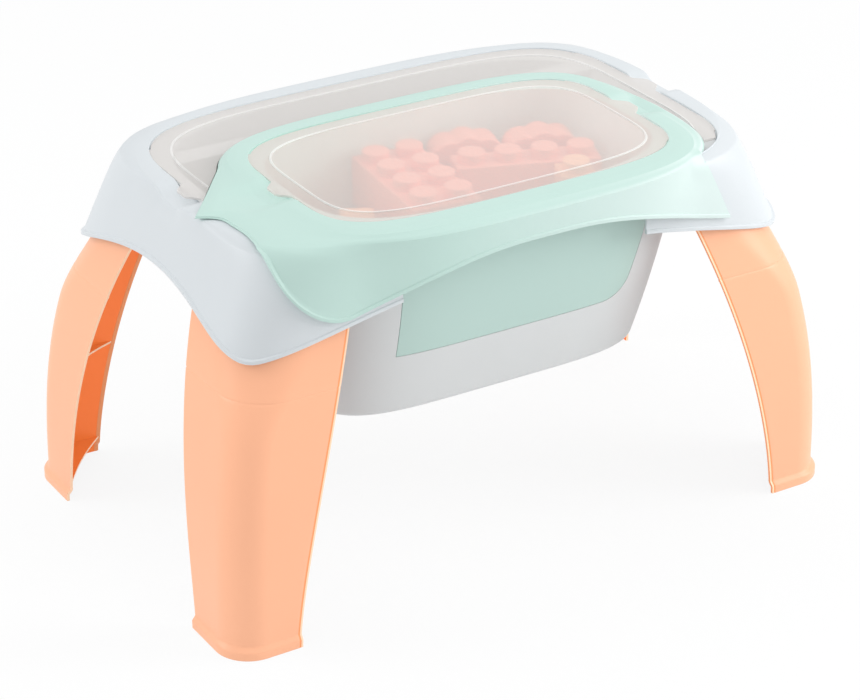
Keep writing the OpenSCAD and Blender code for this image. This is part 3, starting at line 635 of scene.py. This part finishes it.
def window_outline(play):
    low, right, left, r = SILL - play, WINDOW_RIGHT + play, WINDOW_LEFT + play, WINDOW_ROUND + play
    corner = [(right - WINDOW_LEAN - r + r * cosd(a), low + r + r * sind(a)) for a in range(-90, -14, 5)]
    return [(-left, RIM_H + 20), (-left, low)] + corner + [(right, low + 92), (right + 2, RIM_H + 20)]


def upright_prism(name, outline, y, depth):
    return piece(name, pushed_out([(p[0], y, p[1]) for p in outline], (0, -depth, 0)))


def flat_prism(name, outline, z, height):
    return piece(name, pushed_out([(p[0], p[1], z) for p in outline], (0, 0, height)))


carve(tub_piece, upright_prism("window", window_outline(WINDOW_GAP), -120, 120))
even_shading(tub_piece)
dress(tub_piece, "table", tub_plastic, "storage_tub", "storage_tub")
divider_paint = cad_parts["tub_divider"].data.materials
divider_paint.clear()
divider_paint.append(tub_plastic)

# %% [markdown]
# ## The legs
# Each leg is an open angle of thin wall that leans in towards the top and has a small flared edge at the foot. An
# inside and an outside drawn by hand would leave the wall uneven. So one sheet follows the outside, Solidify gives
# it its wall inwards, and a fine bevel takes the edges off. A shallow groove leaves a lip along the open edge, and a
# faint ring groove runs round the leg. Three webs brace it. It is made once and mirrored to the other corners.

# %% The path round a leg
LEG_H, LEG_WALL, FOOT_OUT, WITHIN = 346, 3, 4, 0.3
FOOT_X, FOOT_Y, LEAN_X, LEAN_Y = 366, 233, 39, 33  # the outside at the foot, and what it leans in
OPEN_X, OPEN_Y, WIDER_X, WIDER_Y = 292, 148, 96, 87  # the open edges at the foot, and what they draw in
RING_AT, RING_DEEP, LIP, LIP_DEEP = 261, 0.5, 2.0, 0.4


def leg_size(z):
    lean = (z / (0.84 * LEG_H)) ** 2.6
    rise = (z / LEG_H) ** 1.45
    flare = FOOT_OUT * (1 - smooth((z - 7.7) / 6.3))
    groove = WITHIN + RING_DEEP * math.exp(-((z - RING_AT) / 0.9) ** 2)
    x, y = FOOT_X - LEAN_X * lean + flare - groove, FOOT_Y - LEAN_Y * lean + flare - groove
    r = 38 + 32 * smooth((z / LEG_H - 0.636) / 0.26)
    return x, y, r, OPEN_X - WIDER_X * rise, OPEN_Y - WIDER_Y * rise


def leg_path(z, inside=0, straight=6, turn=18):
    x, y, r, in_x, in_y = leg_size(z)
    x, y, r = x - inside, y - inside, r - inside
    side = [(mix(in_x, x - r, k / straight), y) for k in range(straight)]
    corner = [(x - r + r * sind(a), y - r + r * cosd(a)) for a in (90 * k / turn for k in range(turn + 1))]
    end = [(x, mix(y - r, in_y, k / straight)) for k in range(1, straight + 1)]
    return side + corner + end


def lipped(path):
    x, y = path[0]
    line = ((0, 0), (LIP, 0), (LIP + 0.5, LIP_DEEP), (LIP + 1.5, LIP_DEEP), (LIP + 2, 0))
    return [(x + along, y - deep) for along, deep in line] + path[1:]


levels = [0.02, 1.2, 2.6, 4, 5.5, 7, 8, 9, 10, 11, 12, 13, 14, 16] + [16 + 330 * k / 66 for k in range(1, 67)]
levels = sorted(levels + [RING_AT + d for d in (-2.2, -1.1, -0.5, 0.5, 1.1, 2.2)])
rings = [lipped(leg_path(z)) for z in levels]
columns = [[(*ring[i], z) for ring, z in zip(rings, levels)] for i in range(len(rings[0]))]
print("leg columns and levels:", len(columns), len(levels))

# %% Give the leg its wall and webs
WEB_WALL, SLEEVE_R, SLEEVE_OUT, SLEEVE_H = 2.6, 11.3, 13.8, 42
# The inside, edge and groove places hold the peach with painted shade, a painted highlight and painted groove shade.
OUTSIDE, SHADED_INSIDE, HIGHLIGHT_EDGE, SHADED_GROOVE = 0, 1, 2, 3  # places in the list of the leg's plastics
LEG_PLASTICS = [peach_plastic, shaded_peach, painted_edge_highlight, painted_groove_shade]


def web(z, bow):
    path = leg_path(z, LEG_WALL / 2)
    a, b = Vector(path[-1]), Vector(path[0])
    free = [a.lerp(b, k / 12) + Vector((1, 1)) * bow * 0.7 * sind(15 * k) for k in range(1, 12)]
    flat = soft_plate("web", [(*p, z) for p in path + [tuple(p) for p in free]], (0, 0, WEB_WALL), 0.6, 2, False)
    for polygon in flat.data.polygons:
        polygon.material_index = SHADED_INSIDE if abs(polygon.normal.z) > 0.9 else HIGHLIGHT_EDGE
    return flat


def softer(obj, width):
    soft = obj.modifiers.new("soft edges", "BEVEL")
    soft.width, soft.segments, soft.limit_method, soft.angle_limit = width * MM, 2, "ANGLE", math.radians(50)
    return applied(obj)


wall = piece("leg", sheet_of(columns, [HIGHLIGHT_EDGE, SHADED_GROOVE, SHADED_GROOVE, SHADED_GROOVE] + [OUTSIDE] * (len(columns) - 5)))
for plastic in LEG_PLASTICS:
    wall.data.materials.append(plastic)
solid = wall.modifiers.new("wall", "SOLIDIFY")
solid.thickness = LEG_WALL * MM
solid.offset = -1
solid.use_even_offset = True
solid.material_offset, solid.material_offset_rim = SHADED_INSIDE - OUTSIDE, HIGHLIGHT_EDGE - OUTSIDE
softer(wall, 0.7)
sleeve = tube(SLEEVE_R, SLEEVE_OUT, SLEEVE_H, 0.6, 3)
collar = piece("collar", spun(sleeve, PEG_X, PEG_Y, LEG_H - SLEEVE_H))
top_web = web(LEG_H - WEB_WALL, 0)
bore = [(0, -5), (SLEEVE_R, -5), (SLEEVE_R, 10), (0, 10)]
carve(top_web, piece("bore", spun(bore, PEG_X, PEG_Y, LEG_H - WEB_WALL)))
leg_piece = even_shading(joined("leg_rear_right_moulding", [wall, collar, top_web, web(133, 22), web(18, 4)]))

# %% Mirror it to the other corners


def mirrored(obj, name, sx, sy):
    bm = bmesh.new()
    bm.from_mesh(obj.data)
    bmesh.ops.scale(bm, verts=bm.verts, vec=(sx, sy, 1))
    if sx * sy < 0:
        bmesh.ops.reverse_faces(bm, faces=bm.faces)
    return piece(name, bm)


for node, sx, sy in (("leg_rear_left", -1, 1), ("leg_front_left", -1, -1), ("leg_front_right", 1, -1)):
    dress(even_shading(mirrored(leg_piece, node + "_moulding", sx, sy)), "table", LEG_PLASTICS, "leg", node)
dress(leg_piece, "table", LEG_PLASTICS, "leg", "leg_rear_right")

# %% [markdown]
# ## The lift-out bin
# The bin's rim carries its own lid. Outside the rim a shoulder rolls over into a skirt, which lies over the frame:
# at the left it is drawn out to the frame's end in a pointed wing, and at the right it stops short. Its lower
# edge falls in two lobes and rises between them. A basin and a skirt could be two pieces, but the real bin is one
# moulding, so one grid runs from the basin's floor over the rim, down the skirt and back to the underside.

# %% The bin's sizes
BIN_Y, BIN_L, BIN_W, BIN_POWER, BIN_BACK = 62, 207.5, 128, 4.5, 3.6
BIN_RIM_L, BIN_RIM_W, BIN_RIM_POWER, BIN_ROLL, BIN_SCOOP = 228, 152, 4.2, 12, 6.2
BIN_TOP, BIN_LEDGE, BIN_FLOOR, BIN_WALL, BIN_TURN = 410, 406.2, 250, 2.6, 6
DRAPE_PLAY, DRAPE, BIN_LOBE, BIN_ARCH = 1.4, 4.0, 71, 25
BIN_OVER = RIM_H + DRAPE
WING_FROM, TIP_AT, MEET_AT, LEFT_LOBE_AT, RIGHT_LOBE_AT = 24, 0.5, 17.5, 34, 31
CUT_TOP, CUT_AT, CUT_RAMP, CUT_OVER, CORNER = 33, 29.2, 3, 1.2, 38


def spread(*stops):
    out, start = [], -TIP_AT
    for end, n in stops:
        out += [mix(start, end, k / n) for k in range(1, n + 1)]
        start = end
    return out


rear = [-TIP_AT - (90 - TIP_AT) * (k / 44) ** 1.25 for k in range(44, -1, -1)]
left = rear + spread((CORNER, 60), (90, 34))
right = rear + spread((CUT_AT, 40), (CUT_AT + CUT_OVER, 6), (CORNER, 8), (90, 30))
BIN_ANGLES = [180 + b for b in left] + [360 - b for b in right[-2:0:-1]]
print("directions round the bin:", len(BIN_ANGLES))

# %% [markdown]
# Two outlines mix in the skirt: the bin's own, a little outside its rim, and the frame's skirt with a play for the
# bin to slide off. The angle below the bin's long axis says how much of each. Where both are about as long, a soft
# maximum rounds the fold between them.

# %% Where the bin's skirt runs


def below(t):
    if t > 180:
        return 360 - t if t > 270 else t - 180
    return t - 180 if t > 90 else -t


def wing(t, d):
    b = below(t)
    if 90 < t < 270:
        end = 0.66 + 0.34 * clamp(1 - (b + TIP_AT) / 5) ** 2.5 + 0.34 * clamp((b - 6) / (MEET_AT - 6)) ** 3
    else:
        cut = mix(CUT_TOP, CUT_AT, smooth(d / 4))
        end = mix(0.1, 1.03, smooth((b - cut + CUT_RAMP) / CUT_RAMP))
    return end * clamp((b + WING_FROM) / (WING_FROM - TIP_AT)) ** 1.6


def bin_drop(t):
    b = below(t)
    on_left = 90 < t < 270
    start = smooth((b - 16.5) / 16.5) if on_left else clamp((b - CUT_AT) / CUT_OVER)
    low = LEFT_LOBE_AT if on_left else RIGHT_LOBE_AT
    fall = 1 if b < low else (1 - sind(90 * (b - low) / (90 - low))) ** 1.6
    return start * mix(BIN_ARCH, BIN_LOBE, fall)


def to_skirt(t, d, out):
    low, high, power = 0.0, 600.0, skirt_power(d)
    a, b = skirt_l(d) + out, skirt_w(d) + out
    for _ in range(18):
        m = (low + high) / 2
        inside = (abs(m * cosd(t)) / a) ** power + (abs(m * sind(t) - BIN_Y) / b) ** power < 1
        low, high = (m, high) if inside else (low, m)
    return (low + high) / 2


def longer(a, b, blend):
    share = max(blend - abs(a - b), 0) / blend
    return max(a, b) + share * share * blend / 4


def fold(t, d):
    return max(16 * smooth((d - 4) / 30), 14 if 90 < t < 270 else 1e-6)


def own_reach(t, d):
    return reach(BIN_RIM_L + BIN_ROLL, BIN_RIM_W + BIN_ROLL, 3.5, t) + 2 * d / BIN_LOBE


def bin_skirt(t, d, out=0.0):
    own = own_reach(t, d)
    return mix(own, longer(own, to_skirt(t, d + DRAPE, DRAPE), fold(t, d)), wing(t, d)) + out


def bin_inside(t, d):
    own = own_reach(t, d) - BIN_WALL
    return mix(own, longer(own, to_skirt(t, d + DRAPE_PLAY, DRAPE_PLAY), fold(t, d)), wing(t, d))


print("the wing reaches", round(bin_skirt(180, 0), 1), "mm to the left")

# %% The cross-section of the bin's rim and skirt


def bin_rim_line(t):
    rr, rs = reach(BIN_L, BIN_W, BIN_POWER, t), reach(BIN_RIM_L, BIN_RIM_W, BIN_RIM_POWER, t)
    top = BIN_OVER - 1.2
    shoulder, low = bin_skirt(t, RIM_H - top), RIM_H + 0.6 - bin_drop(t)
    lip = min(BEAD_H, 0.35 * (BIN_OVER - low))
    dip_in, dip = BIN_SCOOP * scoop(t, rr * sind(t) + BIN_BACK), BIN_SCOOP * scoop(t, rs * sind(t))
    rim_end = (rs, BIN_TOP - 1.4 - dip, 0)
    rim = rounded([(rr, BIN_LEDGE - 0.1 * dip_in, BIN_BACK), (rr, BIN_TOP - dip_in, BIN_BACK),
                   (mix(rr, rs, 0.6), BIN_TOP - 0.2 - mix(dip_in, dip, 0.6), 0.4 * BIN_BACK), rim_end], [0, 1.3, 3, 0])
    roll = swept([rim_end, (mix(rs, shoulder, 0.35), mix(BIN_OVER, BIN_TOP, 0.45) - 0.5 * dip, 0),
                  (mix(rs, shoulder, 0.75), BIN_OVER + 0.9, 0), (shoulder, top, 0)], 5)
    skirt = [Vector((bin_skirt(t, RIM_H - z), z, 0)) for z in (mix(top, low + lip, k / 14) for k in range(1, 15))]
    heights = [mix(low, max(low, top - BIN_WALL), f) for f in (0.15, 0.35, 0.55, 0.75, 0.92)]
    inner = [Vector((bin_inside(t, RIM_H - z), z, 0)) for z in heights]
    bead = bin_skirt(t, RIM_H - low, BEAD_OUT)
    foot = rounded([skirt[-1], (bead, low + 0.8 * lip, 0), (bead, low, 0), (bin_inside(t, RIM_H - low), low, 0),
                    inner[0]], [0, 0.8, 0.9, 0.7, 0], steps=3)
    ceiling = BIN_OVER - BIN_WALL
    under = [(bin_inside(t, -DRAPE_PLAY), ceiling - 0.2, 0), (mix(rs, shoulder, 0.4), ceiling + 0.2, 0),
             (rr + 1, min(BIN_LEDGE - BIN_WALL, BIN_OVER + 1) - 0.4 * dip_in, BIN_BACK)]
    return rim + roll[1:] + skirt[:-1] + foot + inner[1:] + [Vector(p) for p in under]


print("points over the rim:", len(bin_rim_line(180)))

# %% The bin's box below the rim
BOX_L, BOX_L_LOW, BOX_BACK, BOX_BACK_LOW, BOX_POWER, BOX_POWER_LOW, BOX_PLAY = 203, 180, 62, 55, 3.4, 4.5, 2


def box_front(z):
    return RECESS_Y + tub_at(min(z, LEDGE_Z))[1] - TUB_WALL - BOX_PLAY


def bin_section(z, t, inside=0.0):
    f = (BIN_LEDGE - z) / (BIN_LEDGE - BIN_FLOOR)
    back, front = mix(BOX_BACK, BOX_BACK_LOW, f), box_front(z)
    r = reach(mix(BOX_L, BOX_L_LOW, max(f, 0) ** 1.4) - inside, (front + back) / 2 - inside,
              mix(BOX_POWER, BOX_POWER_LOW, f), t)
    return r * cosd(t), r * sind(t) + (back - front) / 2, z


def bin_column(t):
    turn = BIN_TURN
    into = [bin_section(BIN_FLOOR + BIN_WALL + turn * v, t, BIN_WALL + turn * u) for u, v in reversed(QUARTER_ROUND)]
    heights = [mix(BIN_FLOOR, BIN_LEDGE, k / 16) for k in range(2, 16)]
    inner = [bin_section(z, t, BIN_WALL) for z in heights]
    mouth = [bin_section(BIN_LEDGE - 1.2, t, BIN_WALL), bin_section(BIN_LEDGE - 0.4, t, BIN_WALL + 0.3),
             bin_section(BIN_LEDGE, t, BIN_WALL - 0.6)]
    rim = [(p[0] * cosd(t), p[0] * sind(t) - BIN_Y + p[2], p[1]) for p in bin_rim_line(t)]
    outer = [bin_section(BIN_LEDGE - BIN_WALL, t)] + [bin_section(z, t) for z in reversed(heights)]
    out = [bin_section(BIN_FLOOR + turn * v, t, turn * u) for u, v in QUARTER_ROUND]
    return into + inner + mouth + rim + outer + out


bin_piece = piece("bin_moulding", wrap([bin_column(t) for t in BIN_ANGLES], fill=True))

# %% [markdown]
# A panel on the bin's front closes the tub's window and lies flush with the tub's outside. It is the part of the
# tub's own form that the window cuts out, less what the bin's box already fills.

# %% The panel in the window
PANEL_LOW, PANEL_H, PANEL_TOP = TUB_FLOOR + 8, 214.4, 372
block = [[tub_point(PANEL_LOW + PANEL_H * k / 30, t) for k in range(31)] for t in ANGLES]
behind = [[bin_section(z, t, 1) for z in (*range(225, 351, 25), PANEL_TOP + 1)] for t in ANGLES]
panel = piece("bin_panel", wrap(block, fill=True))
carve(panel, upright_prism("window", window_outline(-WINDOW_GAP), -120, 120), "INTERSECT")
carve(panel, piece("above", box((-300, -300, PANEL_TOP), (300, 300, 460))))
carve(panel, piece("behind", wrap(behind, fill=True)))
dress(even_shading(softer(panel, 0.8)), "bin", shaded_mint_panel, "front_bin")

# %% [markdown]
# The skirt's right end is a slanted cut. A column of the grid can't follow it, since columns run straight down, so
# two prisms take the rest away: one upright along the slant, one flat that trims the thin edge beside the rim.

# %% Cut the skirt's right end
SLANT = [(207, 400.6), (243.5, 321), (280, 321), (280, 400.6)]
BESIDE = [(206.5, -192), (206.5, -230), (262, -230), (262, -172)]
carve(bin_piece, upright_prism("slant", SLANT, -150, 110))
near = [(mix(own_reach(-b, 0), to_skirt(-b, DRAPE, DRAPE), 0.1) + 1, b) for b in (24, 25.5, 27, 28.5, 30, 31)]
trimmed = [(r * cosd(b), -r * sind(b) - BIN_Y) for r, b in near] + BESIDE
carve(bin_piece, flat_prism("beside the rim", trimmed, 397, 10))
dress(even_shading(bin_piece), "bin", mint_plastic, "front_bin", "front_bin")

# %% [markdown]
# ## The lids
# A lid is a thin plate that drops in flush, with a fine raised line inside its edge and a pull tab at each end. The
# line could be laid on as a piece of its own. One half-section gives plate, line and round edge at once, without a
# seam. The outline is the longer of two reaches, that of the recess and that of the tab. A Lid keeps its numbers.

# %% The outline of a lid with its tabs
LID_WALL, LINE_INSET, LINE_W, LINE_H, LINE_SLOPE, FLAT_W = 2.5, 17, 2.4, 1.4, 0.5, 30
TAB_REACH, TAB_HALF, TAB_ANGLE = 12, 25, 14
Lid = namedtuple("Lid", "a b power y0 z tab_y")


def tab_reach_at(edge, t, y):
    if abs(cosd(t)) < 0.9:
        return 0
    r = edge / abs(cosd(t))
    for _ in range(6):
        u = min(1.0, abs(r * sind(t) - y) / TAB_HALF)
        r = (edge - 1 + (TAB_REACH + 1) * smooth(1.35 * (1 - u))) / abs(cosd(t))
    return r


close = [TAB_ANGLE * (k / 70) for k in range(-69, 71)]
wide = [a for a in ANGLES if TAB_ANGLE + 0.3 < a < 180 - TAB_ANGLE - 0.3]
LID_ANGLES = close + wide + [180 + a for a in close + wide]


def lid_column(lid, t):
    edge = max(reach(lid.a, lid.b, lid.power, t), tab_reach_at(lid.a, t, lid.tab_y))
    near, far = (reach(lid.a - inset, lid.b - inset, lid.power, t) for inset in (LINE_INSET + LINE_W, LINE_INSET))
    low, top, high = lid.z, lid.z + LID_WALL, lid.z + LID_WALL + LINE_H
    line = rounded([(near - FLAT_W, top, 0), (near, top, 0), (near + LINE_SLOPE, high, 0), (far - LINE_SLOPE, high, 0),
                    (far, top, 0), (edge, top, 0), (edge, low, 0), (near - FLAT_W, low, 0)],
                   [0, 0.6, 0.5, 0.5, 0.6, 0.9, 0.9, 0], steps=3)
    return [(p[0] * cosd(t), p[0] * sind(t) - lid.y0, p[1]) for p in line]


def lid_plate(name, lid):
    return piece(name, wrap([lid_column(lid, t) for t in LID_ANGLES], fill=True))


def colour_faces(obj, lid):
    for polygon in obj.data.polygons:
        x, y, z = polygon.center / MM
        across, along = abs(x) / (lid.a - LINE_INSET), abs(y + lid.y0) / (lid.b - LINE_INSET)
        border = across ** lid.power + along ** lid.power > 1
        polygon.material_index = 1 if z > lid.z + LID_WALL + 0.3 else 2 * border
    return obj


print("directions round a lid:", len(LID_ANGLES))

# %% The front lid
FRONT_LID = Lid(BIN_L - LID_PLAY, BIN_W - LID_PLAY, BIN_POWER, BIN_Y - BIN_BACK, BIN_LEDGE + 0.3, SCOOP_Y - BIN_BACK)
front_lid = colour_faces(even_shading(lid_plate("front_lid_plate", FRONT_LID)), FRONT_LID)
dress(front_lid, "bin_lid", [frosted_plastic, highlit_ridge_plastic, border_plastic], "lid", "front_lid")

# %% [markdown]
# The back lid is the same kind of plate, but it only covers what the bin leaves free. Cutting it with a prism of
# the bin's outline, a little larger, gives the even gap between the two.

# %% The back lid
BACK_LID = Lid(RECESS_L - LID_PLAY, RECESS_W - LID_PLAY, RECESS_POWER, RECESS_Y, 396.5, SCOOP_Y + RECESS_Y)
BIN_GAP, CUT_LOW, CUT_HIGH, LEFT_END, RIGHT_END = 1.6, 380, 420, -21, -156
back_lid = lid_plate("back_lid_plate", BACK_LID)
reaches = [(bin_skirt(t, bin_drop(t), BEAD_OUT) + BIN_GAP, t) for t in BIN_ANGLES]
room = [(r * cosd(t), r * sind(t) - BIN_Y) for r, t in reaches]
carve(back_lid, flat_prism("room", room, CUT_LOW, CUT_HIGH - CUT_LOW))
carve(back_lid, piece("end", box((-340, -340, CUT_LOW), (0, LEFT_END, CUT_HIGH))))
carve(back_lid, piece("end", box((0, -340, CUT_LOW), (340, RIGHT_END, CUT_HIGH))))
colour_faces(even_shading(back_lid), BACK_LID)
dress(back_lid, "rear_lid", [milky_plastic, soft_highlit_ridge_plastic, milky_plastic], "lid", "back_lid")

# %% [markdown]
# ## The toy bricks
# Big toddler bricks lie in the bin. Each is a hollow box with round studs. A boolean could hollow it, but the edges
# bevel more cleanly when the underside of a cube is inset and pushed up. Each stud is spun. The other shapes are
# extruded or spun, with the same soft edges. Places are counted in stud distances.

# %% A studded brick
PITCH, STUD_D, STUD_H, BRICK_H, BRICK_WALL = 39, 29, 11, 54, 3
BRICKS_Z = BIN_FLOOR + BIN_WALL + 0.3
UPPER_Z = BRICKS_Z + BRICK_H + STUD_H + 0.3


def brick(nx, ny):
    half_x, half_y = (nx * PITCH - 1) / 2, (ny * PITCH - 1) / 2
    bm = box((-half_x, -half_y, 0), (half_x, half_y, BRICK_H))
    base = [f for f in bm.faces if f.normal.z < -0.5]
    bmesh.ops.inset_region(bm, faces=base, thickness=BRICK_WALL * MM)
    bmesh.ops.translate(bm, verts=base[0].verts, vec=(0, 0, (BRICK_H - BRICK_WALL) * MM))
    shell = piece("shell", softened(bm, bm.edges[:], 1.6, 3))
    side = rounded([(0, STUD_H, 0), (STUD_D / 2, STUD_H, 0), (STUD_D / 2, -1, 0)], [0, 1.8, 0], 4)
    studs = [piece("stud", spun(side + [(0, -1)], (i - (nx - 1) / 2) * PITCH, (j - (ny - 1) / 2) * PITCH, BRICK_H, 32))
             for i in range(nx) for j in range(ny)]
    return joined("brick", [shell] + studs)


def laid(obj, name, x, y, z, turn, material, slot="shape_brick"):
    bm = bmesh.new()
    bm.from_mesh(obj.data)
    bpy.data.objects.remove(obj)
    bmesh.ops.rotate(bm, verts=bm.verts, cent=(0, 0, 0), matrix=Matrix.Rotation(math.radians(turn), 3, "Z"))
    bmesh.ops.translate(bm, verts=bm.verts, vec=Vector((x * PITCH, y * PITCH, z)) * MM)
    return dress(even_shading(piece(name + "_toy", bm)), "bin", material, slot, name)


print("the upper bricks lie at", round(UPPER_Z, 1), "mm")

# %% Lay the studded bricks
middle = (BOX_BACK_LOW - box_front(BIN_FLOOR)) / 2 / PITCH
for place in range(1, 5):
    laid(brick(2, 4), f"base_brick_{place}", (place - 2.5) * 2, middle, BRICKS_Z, 0, coral_plastic, "brick")
laid(brick(2, 4), "stud_brick", -0.87, -0.72, UPPER_Z, -6, coral_plastic, "brick")
laid(brick(4, 1), "row_brick", 2.36, -1.08, UPPER_Z, -20, coral_plastic)
laid(brick(1, 1), "tower_brick", 3.03, -2.49, UPPER_Z, -20, apricot_plastic)

# %% The cloud bricks, the arch, the drum and the ring


def slab(outline, depth):
    return soft_plate("slab", [(p[0], -depth / 2, p[1]) for p in outline], (0, depth, 0), 2.0, 3)


def cloud():
    petal = 0.49 * PITCH

    def top(x):
        heights = [PITCH if abs(x) <= PITCH else 0]
        for cx, cz in ((-0.51 * PITCH, 1.08 * PITCH), (0.51 * PITCH, 1.08 * PITCH), (0, 1.18 * PITCH)):
            if abs(x - cx) < petal:
                heights.append(cz + math.sqrt(petal ** 2 - (x - cx) ** 2))
        return max(heights)
    xs = [PITCH * sind(a) for a in range(-90, 91, 3)]
    return slab([(-PITCH, 0)] + [(x, top(x)) for x in xs] + [(PITCH, 0)], 0.87 * PITCH)


outer, inner = 0.97 * PITCH, 0.51 * PITCH
half_ring = ([(outer * cosd(a), outer * sind(a)) for a in range(0, 181, 6)]
             + [(inner * cosd(a), inner * sind(a)) for a in range(180, -1, -6)])
DRUM_R, DRUM_H, RING_HOLE, RING_R, RING_H, TOY_ROUND = 26, 44.1, 13, 24, 26, 2.5
drum_side = [(0, DRUM_H, 0), (DRUM_R, DRUM_H, 0), (DRUM_R, 0, 0), (0, 0, 0)]
drum = spun(rounded(drum_side, [0, TOY_ROUND, TOY_ROUND, 0]))
laid(cloud(), "cloud_brick_left", 1.49, 0.62, UPPER_Z, -16, coral_plastic)
laid(cloud(), "cloud_brick_right", 3.44, -0.13, UPPER_Z, -18, coral_plastic)
laid(slab(half_ring, 0.92 * PITCH), "arch_brick", -2.87, -1.03, UPPER_Z, 62, apricot_plastic)
laid(piece("drum", drum), "drum_brick", -3.08, -2.82, UPPER_Z, 0, apricot_plastic)
ring = spun(tube(RING_HOLE, RING_R, RING_H, TOY_ROUND, 4))
laid(piece("ring", ring), "ring_brick", 1.54, -2.56, UPPER_Z, 0, apricot_plastic)

# %% [markdown]
# ## Floor, light and camera
# The picture is a bright studio shot on white. The floor is a pale sheet, part of whose white is its own glow, so
# that it stays white and still takes a soft shadow. A floor lit until it is white would bleach the table. The glow
# and the white of the world are only for what is seen, straight, mirrored or through clear plastic. They light
# nothing: the light comes from a dimmer world and the lamps.

# %% Two surfaces, one of them for the view alone


def for_the_view(tree, plain, bright, share, output):
    nodes, link = tree.nodes, tree.links.new
    path, first, both, part, blend = made(nodes, "LightPath", "Math", "Math", "Math", "MixShader")
    first.operation, both.operation, part.operation = "MAXIMUM", "MAXIMUM", "MULTIPLY"
    put(part, {1: share})
    link(path.outputs["Is Camera Ray"], first.inputs[0])
    link(path.outputs["Is Glossy Ray"], first.inputs[1])
    link(first.outputs[0], both.inputs[0])
    link(path.outputs["Is Transmission Ray"], both.inputs[1])
    link(both.outputs[0], part.inputs[0])
    link(part.outputs[0], blend.inputs["Fac"])
    link(plain.outputs[0], blend.inputs[1])
    link(bright.outputs[0], blend.inputs[2])
    link(blend.outputs[0], nodes[output].inputs["Surface"])
    print(output, "shows", share, "of its bright side to the view")


# %% The floor
FLOOR_HALF, FLOOR_WHITE, FLOOR_ROUGH, FLOOR_GLOW, GLOW_SHARE = 6, 0.86, 0.9, 1.02, 0.86
bm = bmesh.new()
bmesh.ops.create_grid(bm, x_segments=2, y_segments=2, size=FLOOR_HALF)
floor = piece("floor", bm)
floor_paint = bpy.data.materials.new("pale floor")
floor_paint.use_nodes = True
nodes = floor_paint.node_tree.nodes
base, glow = nodes["Principled BSDF"], nodes.new("ShaderNodeEmission")
put(base, {"Base Color": (*[FLOOR_WHITE] * 3, 1), "Roughness": FLOOR_ROUGH})
put(glow, {"Strength": FLOOR_GLOW})
for_the_view(floor_paint.node_tree, base, glow, GLOW_SHARE, "Material Output")
floor.data.materials.append(floor_paint)

# %% The world
world = bpy.data.worlds.new("studio")
scene.world = world
world.use_nodes = True
nodes = world.node_tree.nodes
fill, white = nodes["Background"], nodes.new("ShaderNodeBackground")
put(fill, {"Color": (0.98, 0.99, 1, 1), "Strength": 0.70})
put(white, {"Strength": 1})
for_the_view(world.node_tree, fill, white, 1, "World Output")

# %% [markdown]
# Two large soft lamps stand at the back left and the front right, which leaves the corner that faces the camera a
# little darker, as in the photo. A weak one hangs above, and a small one lifts the right end of the top.

# %% The lamps


def lamp(name, place, aim, size, power):
    data = bpy.data.lights.new(name, "AREA")
    data.shape, data.size, data.energy = "DISK", size, power
    obj = bpy.data.objects.new(name, data)
    obj.location = place
    obj.rotation_euler = (Vector(aim) - Vector(place)).to_track_quat("-Z", "Y").to_euler()
    scene.collection.objects.link(obj)


lamp("back left lamp", (-2.6, 1.3, 1.9), (0, 0, 0.2), 1.8, 24)
lamp("right lamp", (2.6, -1.7, 1.4), (0, 0, 0.2), 1.8, 40)
lamp("top lamp", (0, 0.3, 3.0), (0, 0, 0.3), 2.4, 8)
lamp("near right lamp", (0.9, -0.45, 1.3), (0.32, -0.12, 0.36), 0.7, 1.6)

# %% [markdown]
# The camera was fitted to the photo: its angles and distance put the feet and the rims where they lie in the picture.

# %% The camera
AZIMUTH, ELEVATION, DISTANCE, TARGET = 31.4, 27.1, 3.077, Vector((0, 0, 0.150))
PICTURE_W, FOCAL = 860, 2850  # pixels
back = Vector((-sind(AZIMUTH) * cosd(ELEVATION), -cosd(AZIMUTH) * cosd(ELEVATION), sind(ELEVATION)))
camera_data = bpy.data.cameras.new("camera")
camera_data.sensor_width, camera_data.lens = 36, 36 * FOCAL / PICTURE_W
camera_data.clip_end = 50
camera = bpy.data.objects.new("camera", camera_data)
camera.location = TARGET + DISTANCE * back
camera.rotation_euler = back.to_track_quat("Z", "Y").to_euler()
scene.collection.objects.link(camera)
scene.camera = camera
scene.view_settings.view_transform = "Standard"
print("camera at", [round(c, 3) for c in camera.location])

# %% Finish
bpy.context.view_layer.update()
